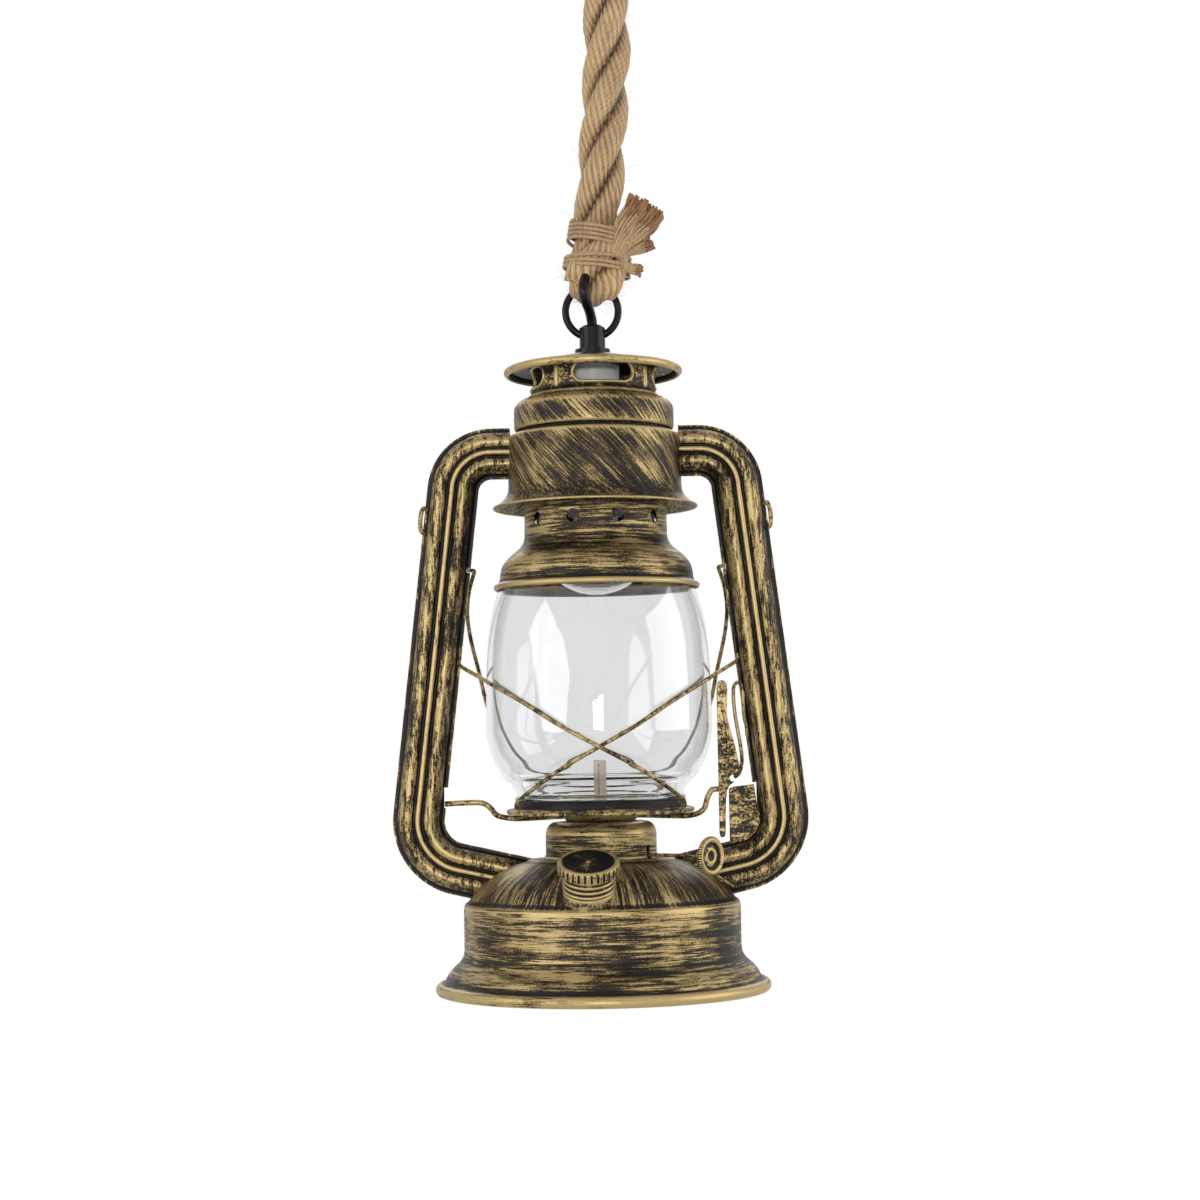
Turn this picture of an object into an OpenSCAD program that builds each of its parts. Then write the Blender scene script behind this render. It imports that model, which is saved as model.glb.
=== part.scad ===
// Pendant light made like a hurricane lantern, hung by a thick hemp rope from a ceiling canopy.
// Heights in the modules are above the lantern's foot. The whole model is then lowered so that the
// ceiling is at z = 0.

/* [Lantern body] */
// Radius of the rolled foot bead
foot_r = 81.3; // [70:0.1:100]
// Radius of the font's upright wall
font_r = 67.2; // [60:0.1:72]
// Height of the top edge of the font's wall
font_top = 43.4; // [36:0.1:50]
// Height of the flat top of the font's dome
dome_top = 64.6; // [58:0.1:66]
// Thickness of the pressed sheet
sheet_t = 0.8; // [0.5:0.1:1.2]
// Radius of the burner collar
collar_r = 27; // [24:0.1:32]
// Height of the top of the burner collar
collar_top = 82.4; // [78:0.1:84]
// Radius of the burner cap
burner_cap_r = 18.8; // [15:0.1:20]
// Height of the top of the burner cap
burner_cap_top = 92; // [88:0.1:95]

/* [Canopy and crown] */
// Radius of the canopy's lower band
drum_r = 42.5; // [38:0.1:48]
// Radius of the canopy's upper band
drum_top_r = 39.3; // [36:0.1:42]
// Radius of the canopy's skirt edge
skirt_r = 50.4; // [46:0.1:56]
// Height of the canopy's skirt edge
skirt_z = 235.3; // [230:0.1:238]
// Radius of the crown with the vent windows
crown_r = 30.5; // [26:0.1:32]
// Height of the canopy's lower band with its skirt
lower_band_h = 37.3; // [35:0.1:42]
// Height of the canopy's upper band
upper_band_h = 17; // [14:0.1:20]
// Height of the crown from its foot to the top plate's rim
crown_h = 15.4; // [14:0.1:20]
// Radius of the top plate
top_plate_r = 44; // [38:0.1:50]
// Rise of the top plate's middle over its rim
top_plate_rise = 6; // [4:0.1:8]
// Number of vent windows in the crown
window_count = 4; // [3:1:5]
// Height of a vent window
window_h = 9; // [6:0.1:10]

/* [Chimney and globe] */
// Radius of the chimney band
chimney_r = 35; // [33.5:0.1:36]
// Number of vent holes in the chimney band
vent_count = 10; // [6:1:14]
// Diameter of a vent hole
vent_d = 6.8; // [4:0.1:8]
// Radius of the bell's rim
bell_r = 50.6; // [48:0.1:54]
// Largest radius of the glass globe
globe_r = 55; // [53:0.1:56]
// Height of the lower edge of the globe
globe_z = 93.1; // [91:0.1:95]
// Height of the glass globe
globe_h = 105.2; // [98:0.1:110]
// Thickness of the globe's glass
globe_t = 2; // [1.2:0.1:3]
// Radius of the globe plate
plate_r = 45.7; // [43:0.1:47]
// Travel of the globe when the lever is pulled
lift_travel = 6; // [3:0.1:6.5]

/* [Side tubes] */
// Width of a side tube over its seam flanges
tube_w = 25.2; // [22:0.1:28]
// Depth of one half of a side tube
tube_d = 9.4; // [7:0.1:11]
// Height of the tubes' upper run
tube_top_z = 263.2; // [258:0.1:265]
// Distance of the tube's middle line from the lantern's axis at the upper bend
tube_top_x = 69.1; // [66:0.1:72]
// Lean of the tubes from the vertical in degrees
tube_lean = 6.69; // [5:0.01:7.5]
// Radius of the upper bend on the middle line
upper_bend_r = 19; // [16:0.1:22]
// Radius of the lower bend on the middle line
lower_bend_r = 24; // [20:0.1:26]
// Height of the start of the lower bend
lower_bend_z = 86.6; // [84:0.1:90]
// Slope of the tubes' lower run in degrees
lower_slope = 13; // [8:0.5:18]
// Thickness of the tubes' sheet
tube_t = 0.6; // [0.4:0.1:0.8]

/* [Filler and burner] */
// Diameter of the filler cap
cap_d = 29; // [27:0.1:32]
// Height of the filler cap's knurled rim
cap_h = 5.4; // [4:0.1:7]
// Number of flutes round the filler cap
cap_flutes = 30; // [16:1:40]
// Diameter of the filler neck
neck_d = 24; // [20:0.1:25]
// Length of the filler cap's axis from the neck's seat to the cap's top
cap_reach = 15; // [13:0.1:18]
// Lean of the filler cap towards the front in degrees
cap_lean = 23.6; // [15:0.1:32]
// Pitch of the filler thread
cap_pitch = 2.5; // [1.5:0.1:3]
// Diameter of the wick knob
knob_d = 18.2; // [14:0.1:22]
// Thickness of the wick knob
knob_t = 3.2; // [2.4:0.1:5]
// Distance of the wick knob from the burner's axis
knob_reach = 65; // [60:0.1:70]
// Direction of the wick shaft in degrees from the front, towards the right
shaft_turn = 49; // [40:0.5:60]
// Height of the wick shaft
shaft_z = 66.3; // [66:0.1:68]
// Diameter of the wick shaft
shaft_d = 1.7; // [1.4:0.1:2.2]
// Radius of the toothed wheels that feed the wick
feed_r = 2.6; // [2:0.1:3]
// Width of the wick
wick_w = 7.4; // [6:0.1:9]
// Thickness of the wick
wick_t = 2; // [1.4:0.1:2.4]
// Height of the top of the wick
wick_top = 111.7; // [104:0.1:116]

/* [Suspension] */
// Distance between the lower and the upper pivot
hang = 231.6; // [225:0.1:240]
// Radius of a hanging ring on its middle line
ring_r = 13; // [12.5:0.1:14]
// Diameter of the ring's wire
ring_wire = 3.6; // [3:0.1:4]
// Radius of the suspension fitting
fitting_r = 6.35; // [6:0.05:7]
// Radius of the suspension fitting's flange
flange_r = 8.7; // [8:0.1:11]
// Radius of the cable bore through the suspension fitting
cable_bore_r = 4.2; // [4:0.05:4.4]
// Diameter of the power cable
cable_d = 5; // [4:0.1:5.4]
// Diameter of the twine round the rope's eyes
twine_d = 2; // [1.4:0.1:2.1]
// Step of the twine from turn to turn
twine_pitch = 2.5; // [2.5:0.05:3]

/* [Ceiling canopy] */
// Radius of the ceiling canopy
rose_r = 50; // [45:0.5:60]
// Depth of the ceiling canopy
rose_h = 26; // [22:0.5:30]
// Length of the ceiling bracket
bracket_l = 84; // [76:0.5:88]
// Width of the ceiling bracket
bracket_w = 18; // [16:0.5:24]
// Thickness of the ceiling bracket
bracket_t = 2; // [1.5:0.1:3]
// Distance between the two ceiling screws
screw_spacing = 60; // [50:0.5:64]
// Radius of a ceiling screw hole
screw_hole_r = 2.25; // [1.8:0.05:3]
// Radius of the supply cable's hole in the bracket
supply_hole_r = 6; // [4:0.1:7]

/* [Clearances] */
// Gap between faces that seat on each other
seat_gap = 0.1; // [0.05:0.01:0.2]
// Gap between parts that move past each other
run_gap = 0.3; // [0.3:0.05:0.4]
// Radial clearance of a turning shaft
shaft_gap = 0.08; // [0.05:0.01:0.1]

/* [Hidden] */
$fn = 64;

brass = "#9c8a57";
black = "#1d1d1d";
hemp = "#b89468";

// Heights that follow from each other, from the globe's seat up to the ceiling
bell_step = 3.1;
bell_z = globe_z + globe_h - bell_step + seat_gap;
drum_groove = skirt_z + lower_band_h;
crown_foot = drum_groove + upper_band_h;
top_plate_z = crown_foot + crown_h;
plate_mid_z = top_plate_z + top_plate_rise;
flange_low = 10.6;
pivot_z = plate_mid_z + flange_low;
upper_pivot_z = pivot_z + hang;
flange_t = 3;
fitting_up = 4.2;
ceiling_z = upper_pivot_z + flange_low + rose_h;
ring_eye_r = ring_wire * 0.75;
ring_centre = sqrt(pow(ring_r, 2) - pow((fitting_r + cable_bore_r) / 2 + 0.6, 2));
stem_r = 4.9;
stem_l = 15;

// Geometry of the side tubes on their middle line, on the right side
lean_dir = [sin(tube_lean), -cos(tube_lean)];
upper_c = [tube_top_x - upper_bend_r * 0.96, tube_top_z - upper_bend_r];
upper_end = upper_c + upper_bend_r * [cos(tube_lean), sin(tube_lean)];
leg_l = (upper_end[1] - lower_bend_z) / cos(tube_lean);
lower_start = upper_end + leg_l * lean_dir;
lower_c = lower_start - lower_bend_r * [cos(tube_lean), sin(tube_lean)];
lower_end = lower_c + lower_bend_r * [sin(lower_slope), -cos(lower_slope)];

function tube_x(z) = upper_end[0] + (upper_end[1] - z) * tan(tube_lean);

// The wick shaft's own frame
shaft_dir = [sin(shaft_turn), -cos(shaft_turn), 0];
shaft_side = [cos(shaft_turn), sin(shaft_turn), 0];
shaft_off = wick_t / 2 + feed_r;

// The filler cap's axis
cap_axis = [0, -sin(cap_lean), cos(cap_lean)];
cap_top = [-6, -63.5, 66.2];
cap_base = cap_top - cap_reach * cap_axis;
cap_depth = 4;

// The lift lever's pivot on the carrier wire
lever_pivot = [57.4, -4.5, 97];
lever_t = 0.8;

// Vector helpers
function unit(v) = v / norm(v);
function flip(a) = [for (i = [len(a) - 1:-1:0]) a[i]];
function arc(c, r, a0, a1, n) = [for (i = [0:n]) c + r * [cos(a0 + (a1 - a0) * i / n),
    sin(a0 + (a1 - a0) * i / n)]];
function at(p, i) = p[max(0, min(len(p) - 1, i))];
function side_of(p, i) = let (d = unit(at(p, i + 1) - at(p, i - 1))) [-d[1], d[0]];
function inset_all(p, t) = [for (i = [0:len(p) - 1]) p[i] + t * side_of(p, i)];
// The same for a profile that is turned about the axis, which it may not cross
function inset(p, t) = [for (i = [0:len(p) - 1]) let (q = p[i] + t * side_of(p, i)) [max(0, q[0]), q[1]]];

// A smooth curve through points chosen by hand
function bend(a, b, c, d, t) =
    0.5 * (2 * b + t * (c - a) + t * t * (2 * a - 5 * b + 4 * c - d)
        + t * t * t * (3 * b - a - 3 * c + d));
function smooth(p, n) = concat(
    [for (i = [0:len(p) - 2], k = [0:n - 1]) bend(at(p, i - 1), p[i], p[i + 1], at(p, i + 2), k / n)],
    [p[len(p) - 1]]);
function mirrored(p) = [for (q = p) [-q[0], q[1], q[2]]];

// Frames that ride along a route without twisting
function tangent(p, i) = unit(at(p, i + 1) - at(p, i - 1));
function normals(p, last, i = 0, done = []) = i == len(p) ? done
    : let (t = tangent(p, i), n = unit(last - (last * t) * t)) normals(p, n, i + 1, concat(done, [n]));

function walls(sides, count) = concat(
    [for (i = [0:count - 2], k = [0:sides - 1]) let (a = i * sides + k, b = i * sides + (k + 1) % sides)
        [a, a + sides, b]],
    [for (i = [0:count - 2], k = [0:sides - 1]) let (a = i * sides + k, b = i * sides + (k + 1) % sides)
        [b, a + sides, b + sides]]);

// A closed skin over rings whose ends are convex
module skin(rings) {
    sides = len(rings[0]);
    last = (len(rings) - 1) * sides;
    polyhedron(
        points = [for (r = rings, q = r) q],
        faces = concat(walls(sides, len(rings)), [for (k = [1:sides - 2]) [0, k, k + 1]],
            [for (k = [1:sides - 2]) [last, last + k + 1, last + k]]),
        convexity = 10);
}

module wire(p, r, sides = 6, up = [0, 0.01, 1]) {
    n = normals(p, up);
    skin([for (i = [0:len(p) - 1]) let (t = tangent(p, i), s = cross(t, n[i]))
        [for (k = [0:sides - 1]) p[i] + r * (cos(360 * k / sides) * n[i] + sin(360 * k / sides) * s)]]);
}

// The same for ends of any outline
module hollow_skin(rings) {
    sides = len(rings[0]);
    last = (len(rings) - 1) * sides;
    polyhedron(
        points = [for (r = rings, q = r) q],
        faces = concat(walls(sides, len(rings)), [[for (k = [0:sides - 1]) k]],
            [[for (k = [sides - 1:-1:0]) last + k]]),
        convexity = 10);
}

// A turned sheet: its outer profile from the bottom up, with the wall on the inside
module turned_sheet(p, t) rotate_extrude() polygon(concat(p, flip(inset(p, t))));

module ring_band(r0, r1, z0, z1) rotate_extrude() translate([r0, z0]) square([r1 - r0, z1 - z0]);

// Ceiling canopy: a shallow black cup with a hole for the fitting
rose_hole_r = stem_r + seat_gap;
rose_round = 9;
module ceiling_canopy() color(black) translate([0, 0, ceiling_z]) difference() {
    turned_sheet(concat([[rose_hole_r, -rose_h]],
        arc([rose_r - rose_round, -rose_h + rose_round], rose_round, -90, 0, 6), [[rose_r, 0]]), 1);
    for (s = [0, 180]) rotate([0, 0, s]) translate([bracket_l / 2, 0, -ear_screw_z]) rotate([0, 90, 0])
        cylinder(r = side_screw_r + seat_gap, h = 3 * (rose_r - bracket_l / 2));
}

module ceiling_bracket() color("silver") translate([0, 0, ceiling_z]) difference() {
    union() {
        translate([-bracket_l / 2, -bracket_w / 2, -bracket_t]) cube([bracket_l, bracket_w, bracket_t]);
        for (s = [-1, 1]) translate([s * (bracket_l - bracket_t) / 2 - bracket_t / 2, -bracket_w / 2,
            -ear_h])
            cube([bracket_t, bracket_w, ear_h - bracket_t / 2]);
    }
    for (s = [-1, 1]) translate([s * screw_spacing / 2, 0, -2 * bracket_t]) cylinder(r = screw_hole_r,
        h = 3 * bracket_t);
    translate([0, 0, -2 * bracket_t]) cylinder(r = supply_hole_r, h = 3 * bracket_t);
    for (s = [-1, 1]) translate([s * bracket_l / 2, 0, -ear_screw_z]) rotate([0, 90, 0])
        cylinder(r = side_screw_r + seat_gap / 2, h = 4 * bracket_t, center = true);
}
ear_h = 14;
ear_screw_z = 9;
side_screw_r = 1.95;

// Two knurled screws that hold the canopy on the bracket's ears, from the outside
module canopy_screws() color(black) for (s = [0, 180]) rotate([0, 0, s])
    translate([0, 0, ceiling_z - ear_screw_z]) rotate([0, 90, 0]) {
        translate([0, 0, bracket_l / 2 - bracket_t]) cylinder(r = side_screw_r,
            h = rose_r - bracket_l / 2 + bracket_t + 0.5);
        translate([0, 0, rose_r + seat_gap]) cylinder(r = 4, h = 3.4);
    }

// Suspension fitting, with its pivot at the origin and its mouth upwards
module fitting(stem) {
    difference() {
        union() {
            translate([0, 0, -flange_low]) cylinder(r = flange_r, h = flange_t);
            translate([0, 0, -flange_low]) cylinder(r = fitting_r, h = flange_low + fitting_up - 1);
            translate([0, 0, fitting_up - 1]) cylinder(r1 = fitting_r, r2 = fitting_r - 1, h = 1);
            translate([0, 0, -flange_low - stem]) cylinder(r = stem_r, h = stem + 1);
        }
        translate([0, 0, -flange_low - stem - 1]) cylinder(r = cable_bore_r,
            h = flange_low + stem + fitting_up + 2);
        rotate([0, 90, 0]) cylinder(r = ring_eye_r, h = 3 * fitting_r, center = true);
    }
}

module lower_fitting() color(black) translate([0, 0, pivot_z]) fitting(stem_l);
module upper_fitting() color(black) translate([0, 0, upper_pivot_z]) rotate([180, 0, 90]) fitting(stem_l);

module hex_nut(r, bore, h) difference() {
    cylinder(r = r, h = h, $fn = 6);
    translate([0, 0, -1]) cylinder(r = bore, h = h + 2);
}
nut_r = 8.6;
nut_h = 3.6;
module lower_nut() color("silver")
    translate([0, 0, plate_mid_z - sheet_t - nut_h]) hex_nut(nut_r, stem_r + shaft_gap, nut_h);
module upper_nut() color("silver")
    translate([0, 0, upper_pivot_z + flange_low + 1]) hex_nut(nut_r, stem_r + shaft_gap, nut_h);

// Three-way terminal block that sits beside the fitting on the canopy's floor
module terminal_block() color("ivory") translate([14, -8, ceiling_z - rose_h + 1]) difference() {
    cube([12, 24, 9]);
    for (i = [0:2]) translate([-1, 4 + 8 * i, 4.5]) rotate([0, 90, 0]) cylinder(r = 1.8, h = 14);
}

// Open ring whose two ends sit in the fitting's side holes
module hanging_ring() {
    translate([0, 0, ring_centre]) rotate([90, 0, 0]) difference() {
        rotate_extrude() translate([ring_r, 0]) circle(d = ring_wire);
        translate([-cable_bore_r - 0.1, -2 * ring_r, -ring_wire]) cube([2 * cable_bore_r + 0.2,
            2 * ring_r, 2 * ring_wire]);
    }
}
module lower_ring() color(black) translate([0, 0, pivot_z]) hanging_ring();
module upper_ring() color(black) translate([0, 0, upper_pivot_z]) rotate([180, 0, 90]) hanging_ring();

// The rope's route: place, half width, half thickness and turn of the section.
// It starts at the lower tail, goes round the lower ring, up, and round the upper ring.
eye_r = 6.6;
wire_z = pivot_z + ring_centre + ring_r;
top_wire_z = upper_pivot_z - ring_centre - ring_r;
rope_low = [
    [10, -7.4, 374, 10, 4.8], [8, -7.4, 366, 11, 4.8], [5, -7.3, 357, 11.5, 4.6], [2, -7, 351, 11.5,
        4.4]];
rope_mid = [
    [0, 7.2, 352, 11.5, 4.8, 0], [1, 7.2, 360, 12, 5.5, 0], [2, 6.8, 368, 12, 6, 0], [3, 5.8, 377, 12,
        7, 0],
    [4.5, 2.5, 388, 12, 10.5, 0], [5.5, 0.5, 400, 12, 12, 0], [7, 0, 418, 12, 12, 15], [8.4, 0, 438,
        12, 12, 35],
    [9.6, 0, 460, 12, 12, 55], [10, 0, 478, 12, 12, 75], [9.6, 0, 490, 12, 11.5, 90], [8, 1, 502, 12,
        9, 90],
    [7.4, 0, 512, 12, 6.5, 90], [7.2, 0, 522, 11.5, 4.8, 90]];
rope_high = [[-7.1, 2, 523, 11.5, 4.4, 90], [-7.4, 5, 517, 11.5, 4.6, 90], [-7.4, 8, 508, 11, 4.8, 90]];
rope_route = concat(
    [for (q = rope_low) concat(q, [0])],
    [for (a = [-180:30:0]) [0, eye_r * cos(a), wire_z + eye_r * sin(a), 8 + 3 * abs(cos(a)), 4.2, 0]],
    rope_mid,
    [for (a = [0:30:180]) [eye_r * cos(a), 0, top_wire_z + eye_r * sin(a), 8 + 3 * abs(cos(a)), 4.2, 90]],
    rope_high);
rope_sides = 12;

function place(q) = [q[0], q[1], q[2]];
function rope_ring(i) = let (q = rope_route[i],
    t = unit(place(at(rope_route, i + 1)) - place(at(rope_route, i - 1))),
    w = unit([cos(q[5]), sin(q[5]), 0] - ([cos(q[5]), sin(q[5]), 0] * t) * t),
    s = cross(t, w))
    [for (k = [0:rope_sides - 1])
        let (a = 360 * k / rope_sides) place(q) + q[3] * cos(a) * w + q[4] * sin(a) * s];

module rope() color(hemp) skin([for (i = [0:len(rope_route) - 1]) rope_ring(i)]);

// The frayed ends of the rope's strands, which stand out from the binding to one side
tail_stubs = [
    [[17.5, -8.5, 367], [23, -9.5, 372], [28, -9.5, 378], [31, -9, 384], 3, 6.5, 9.5, 8.5],
    [[19.5, -5, 362.5], [23, -4, 364.5], [26.5, -3.5, 366.5], [29.5, -3, 368], 2.5, 4, 5, 4.5],
    [[19, -9, 353], [21, -9.6, 352], [23, -10, 351.3], [24.6, -10.4, 350.8], 1.6, 2.4, 3, 3]];
module stub(s) {
    p = [s[0], s[1], s[2], s[3]];
    n = normals(p, [0, 1, 0.1]);
    skin([for (i = [0:3]) let (t = tangent(p, i), v = cross(t, n[i]))
        [for (k = [0:9]) p[i] + s[4 + i] * (0.75 * cos(36 * k) * n[i] + sin(36 * k) * v)]]);
}
module rope_tails() color(hemp) {
    for (s = tail_stubs) stub(s);
    translate([0, 0, top_wire_z + wire_z]) rotate([0, 180, -90]) for (s = tail_stubs) stub(s);
}

// Twine wound round both legs of an eye: one unbroken tube in two bands
bind_turns = [2.6, 1, 4];
bind_wide = 15.8;
bind_deep = 14.4;
bind_step = 24;
bind_gap_h = 6.4;
bind_total = bind_turns[0] + bind_turns[1] + bind_turns[2];
function bind_z(u) = u < bind_turns[0] ? u * twine_pitch
    : u < bind_turns[0] + bind_turns[1]
        ? bind_turns[0] * twine_pitch + (u - bind_turns[0]) / bind_turns[1] * bind_gap_h
        : bind_turns[0] * twine_pitch + bind_gap_h + (u - bind_turns[0] - bind_turns[1]) * twine_pitch;
function bind_point(u) = [4.4 + bind_wide * cos(360 * u), 0.6 + bind_deep * sin(360 * u), bind_z(u)];
bind_points = [for (i = [0:floor(bind_total * bind_step)]) bind_point(i / bind_step)];
module binding() wire(bind_points, twine_d / 2, 6, [0.01, 0, 1]);

// Least gap of the twine to itself, between points at least half a turn apart
twine_gap = min([for (i = [0:2:len(bind_points) - 1], k = [i + bind_step / 2:2:len(bind_points) - 1])
    norm(bind_points[i] - bind_points[k])]) - twine_d;
echo(least_gap_of_twine_to_itself = twine_gap);

bind_low_z = 351.4;
module lower_whipping() color(hemp) translate([0, 0, bind_low_z]) binding();
module upper_whipping() color(hemp)
    translate([0, 0, top_wire_z + wire_z - bind_low_z]) rotate([0, 180, -90]) binding();

// The power cable: inside the rope, and out between its strands at each eye
cable_route = [[-3.6, -13.6, 349], [-3.8, -14.6, 344], [-3.6, -14.4, 340], [-2.8, -12.2, 336],
    [-1.4, -6.6, 333], [-0.5, -2, 330.4], [0, -0.3, 327], [0, 0, 324], [0, 0, 322.4]];
module power_cable() color(black) {
    wire(smooth(cable_route, 3), cable_d / 2, 8, [1, 0, 0]);
    translate([0, 0, top_wire_z + wire_z]) rotate([0, 180, -90]) wire(smooth(cable_route, 3),
        cable_d / 2, 8, [1, 0, 0]);
}

// The cable's last length, inside the lantern's fitting
holder_top = plate_mid_z - sheet_t - nut_h - 1;
module lamp_cable() color(black) {
    translate([0, 0, holder_top - 12]) cylinder(d = cable_d, h = pivot_z - holder_top + 11);
    translate([0, 0, plate_mid_z - 6]) cylinder(r = cable_bore_r - seat_gap, h = 7);
}

// Porcelain lampholder with its screw shell
holder_neck_r = 13;
holder_neck_l = 18;
holder_r = 20.5;
holder_l = 39;
shell_r = 13.3;
holder_mid = holder_top - holder_neck_l;
holder_low = holder_mid - holder_l;
module lampholder() color("white") difference() {
    union() {
        translate([0, 0, holder_mid]) cylinder(r = holder_neck_r, h = holder_neck_l);
        translate([0, 0, holder_mid - 4]) cylinder(r1 = holder_r, r2 = holder_neck_r, h = 7.5);
        translate([0, 0, holder_low]) cylinder(r = holder_r, h = holder_l - 4);
    }
    translate([0, 0, holder_mid - 8]) cylinder(r = stem_r + shaft_gap, h = holder_neck_l + 9);
    translate([0, 0, holder_low - 1]) cylinder(r = shell_r + 1.2, h = holder_l - 6);
}
contact_z = holder_low + holder_l - 7;
module lamp_contacts() color("goldenrod") {
    ring_band(shell_r + run_gap, shell_r + 1.1, holder_low + 4, contact_z - 1);
    translate([0, 0, contact_z - 0.6]) cylinder(r = 4.4, h = 0.5);
}

// LED filament bulb
bulb_r = 31;
bulb_low = 192.8;
bulb_centre = bulb_low + bulb_r;
bulb_cap_low = contact_z - 27;
module bulb_cap() color("silver") {
    translate([0, 0, bulb_cap_low]) cylinder(r = shell_r - 0.4, h = 24);
    translate([0, 0, bulb_cap_low + 24]) cylinder(r1 = 9, r2 = 4.5, h = 2);
}
bulb_outline = concat([[0, bulb_low]], arc([0, bulb_centre], bulb_r, -80, 44, 14),
    [[17.6, holder_low - 1], [14, holder_low - 0.4], [12.6, bulb_cap_low - seat_gap]]);
module bulb_glass() color("white", 0.4) rotate_extrude()
    polygon(concat(bulb_outline, flip(inset(bulb_outline, 0.9))));
module bulb_filaments() color("orange") {
    translate([0, 0, bulb_centre - 6]) cylinder(r = 2.4, h = bulb_cap_low - bulb_centre + 5.8);
    for (a = [45:90:315]) rotate([0, 0, a]) {
        translate([8, 0, bulb_centre - 16]) rotate([0, 6, 0]) cylinder(r = 1, h = 34);
        translate([0, 0, bulb_centre - 5]) rotate([0, 90, 0]) cylinder(r = 0.4, h = 9);
    }
}

// Top plate: a shallow dish with a rolled rim
rim_roll = 2.15;
plate_profile = concat(
    [[top_plate_r - 2.6, top_plate_z - 2 * rim_roll + 0.3]],
    arc([top_plate_r - rim_roll, top_plate_z - rim_roll], rim_roll, -70, 130, 8),
    [[38, top_plate_z - 0.9], [30, top_plate_z + 1.4], [20, plate_mid_z - 1.6], [13, plate_mid_z],
        [stem_r + seat_gap, plate_mid_z]]);
module top_plate() color(brass) turned_sheet(plate_profile, sheet_t);

// Crown: a band with large vent windows and a bead on each post
crown_top = top_plate_z + 0.4;
window_low = crown_foot + 5;
module crown() color(brass) {
    difference() {
        turned_sheet([[crown_r + 1.9, crown_foot], [crown_r + 1.8, crown_foot + 0.9], [crown_r,
            crown_foot + 2.4],
            [crown_r, crown_top]], sheet_t);
        for (i = [0:window_count - 1]) rotate([0, 0, -80 + 360 / window_count * i])
            translate([crown_r - 8, 0, window_low + window_h / 2]) rotate([90, 0, 90]) linear_extrude(16)
                polygon(concat(arc([window_half, 0], window_h / 2, -90, 90, 8),
                    arc([-window_half, 0], window_h / 2, 90, 270, 8)));
    }
    for (i = [0:window_count - 1]) rotate([0, 0, -80 + 360 / window_count * (i + 0.5)])
        translate([crown_r, 0, crown_foot + 3]) cylinder(r = 1.3, h = crown_top - crown_foot - 3.2);
}
window_half = crown_r * sin(110 / window_count) - window_h / 2;

// Canopy drum: shoulder, upper band, groove, lower band and flared skirt, with its inner wall
drum_profile = [[skirt_r, skirt_z], [skirt_r, skirt_z + 1], [skirt_r - 1.6, skirt_z + 1.7],
    [drum_r + 3.9, skirt_z + 3.2],
    [drum_r + 1.6, skirt_z + 5.4], [drum_r + 0.4, skirt_z + 8], [drum_r, skirt_z + 11],
    [drum_r, drum_groove - 2.6], [drum_r - 0.8, drum_groove - 1.2], [drum_top_r - 1.4, drum_groove - 0.4],
    [drum_top_r - 1.6, drum_groove + 0.6], [drum_top_r, drum_groove + 1.8],
    [drum_top_r, crown_foot - 5.4], [drum_top_r - 0.6, crown_foot - 3.4], [drum_top_r - 2.6,
        crown_foot - 1.4],
    [drum_top_r - 6.4, crown_foot - 0.2], [crown_r - 3, crown_foot - 0.1]];
module canopy_drum() color(brass) turned_sheet(drum_profile, sheet_t);

// Ring in the drum that guides the chimney
guide_z = skirt_z + 11;
module chimney_guide() color(brass)
    ring_band(chimney_r + run_gap, drum_r - sheet_t - 0.02, guide_z, guide_z + 1.2);

// Chimney band with its round vents, and the bell over the globe
bell_profile = [[bell_r - 1.2, bell_z], [bell_r - 0.2, bell_z + 0.7], [bell_r, bell_z + 1.7],
    [bell_r - 0.5, bell_z + 2.8],
    [bell_r - 2.6, bell_z + 3.6], [bell_r - 3.2, bell_z + 6], [bell_r - 3.4, bell_z + 9],
        [bell_r - 4.6, bell_z + 12.6],
    [bell_r - 7.2, bell_z + 15.8], [chimney_r + 5.6, bell_z + 18.2], [chimney_r + 2.6, bell_z + 20.6],
    [chimney_r + 0.6, bell_z + 23.4], [chimney_r, bell_z + 26], [chimney_r, guide_z + 2.4],
    [chimney_r + 3.9, guide_z + 2.4]];
vent_z = bell_z + 33.7;
module chimney() color(brass) difference() {
    turned_sheet(bell_profile, sheet_t);
    for (i = [0:vent_count - 1]) rotate([0, 0, -90 + 360 / vent_count * (i + 0.5)])
        translate([chimney_r, 0, vent_z])
        rotate([0, 90, 0]) cylinder(d = vent_d, h = 8, center = true);
}

// Coil spring that presses the chimney down on the globe
spring_wire = 1.6;
spring_r = chimney_r + 3.1;
spring_turns = 4;
spring_curl = 8;
spring_low = guide_z + 2.4 + sheet_t + spring_wire / 2 + 0.1;
spring_high = drum_groove - sheet_t - 1.6 - spring_wire / 2;
spring_points = [for (i = [0:spring_turns * spring_curl]) let (a = 360 * i / spring_curl)
    [spring_r * cos(a), spring_r * sin(a), spring_low + (spring_high - spring_low)
        * i / (spring_turns * spring_curl)]];
module chimney_spring() color("silver") wire(spring_points, spring_wire / 2, 6, [0.01, 0, 1]);
echo(least_gap_of_spring_to_itself = (spring_high - spring_low) / spring_turns - spring_wire);

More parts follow.
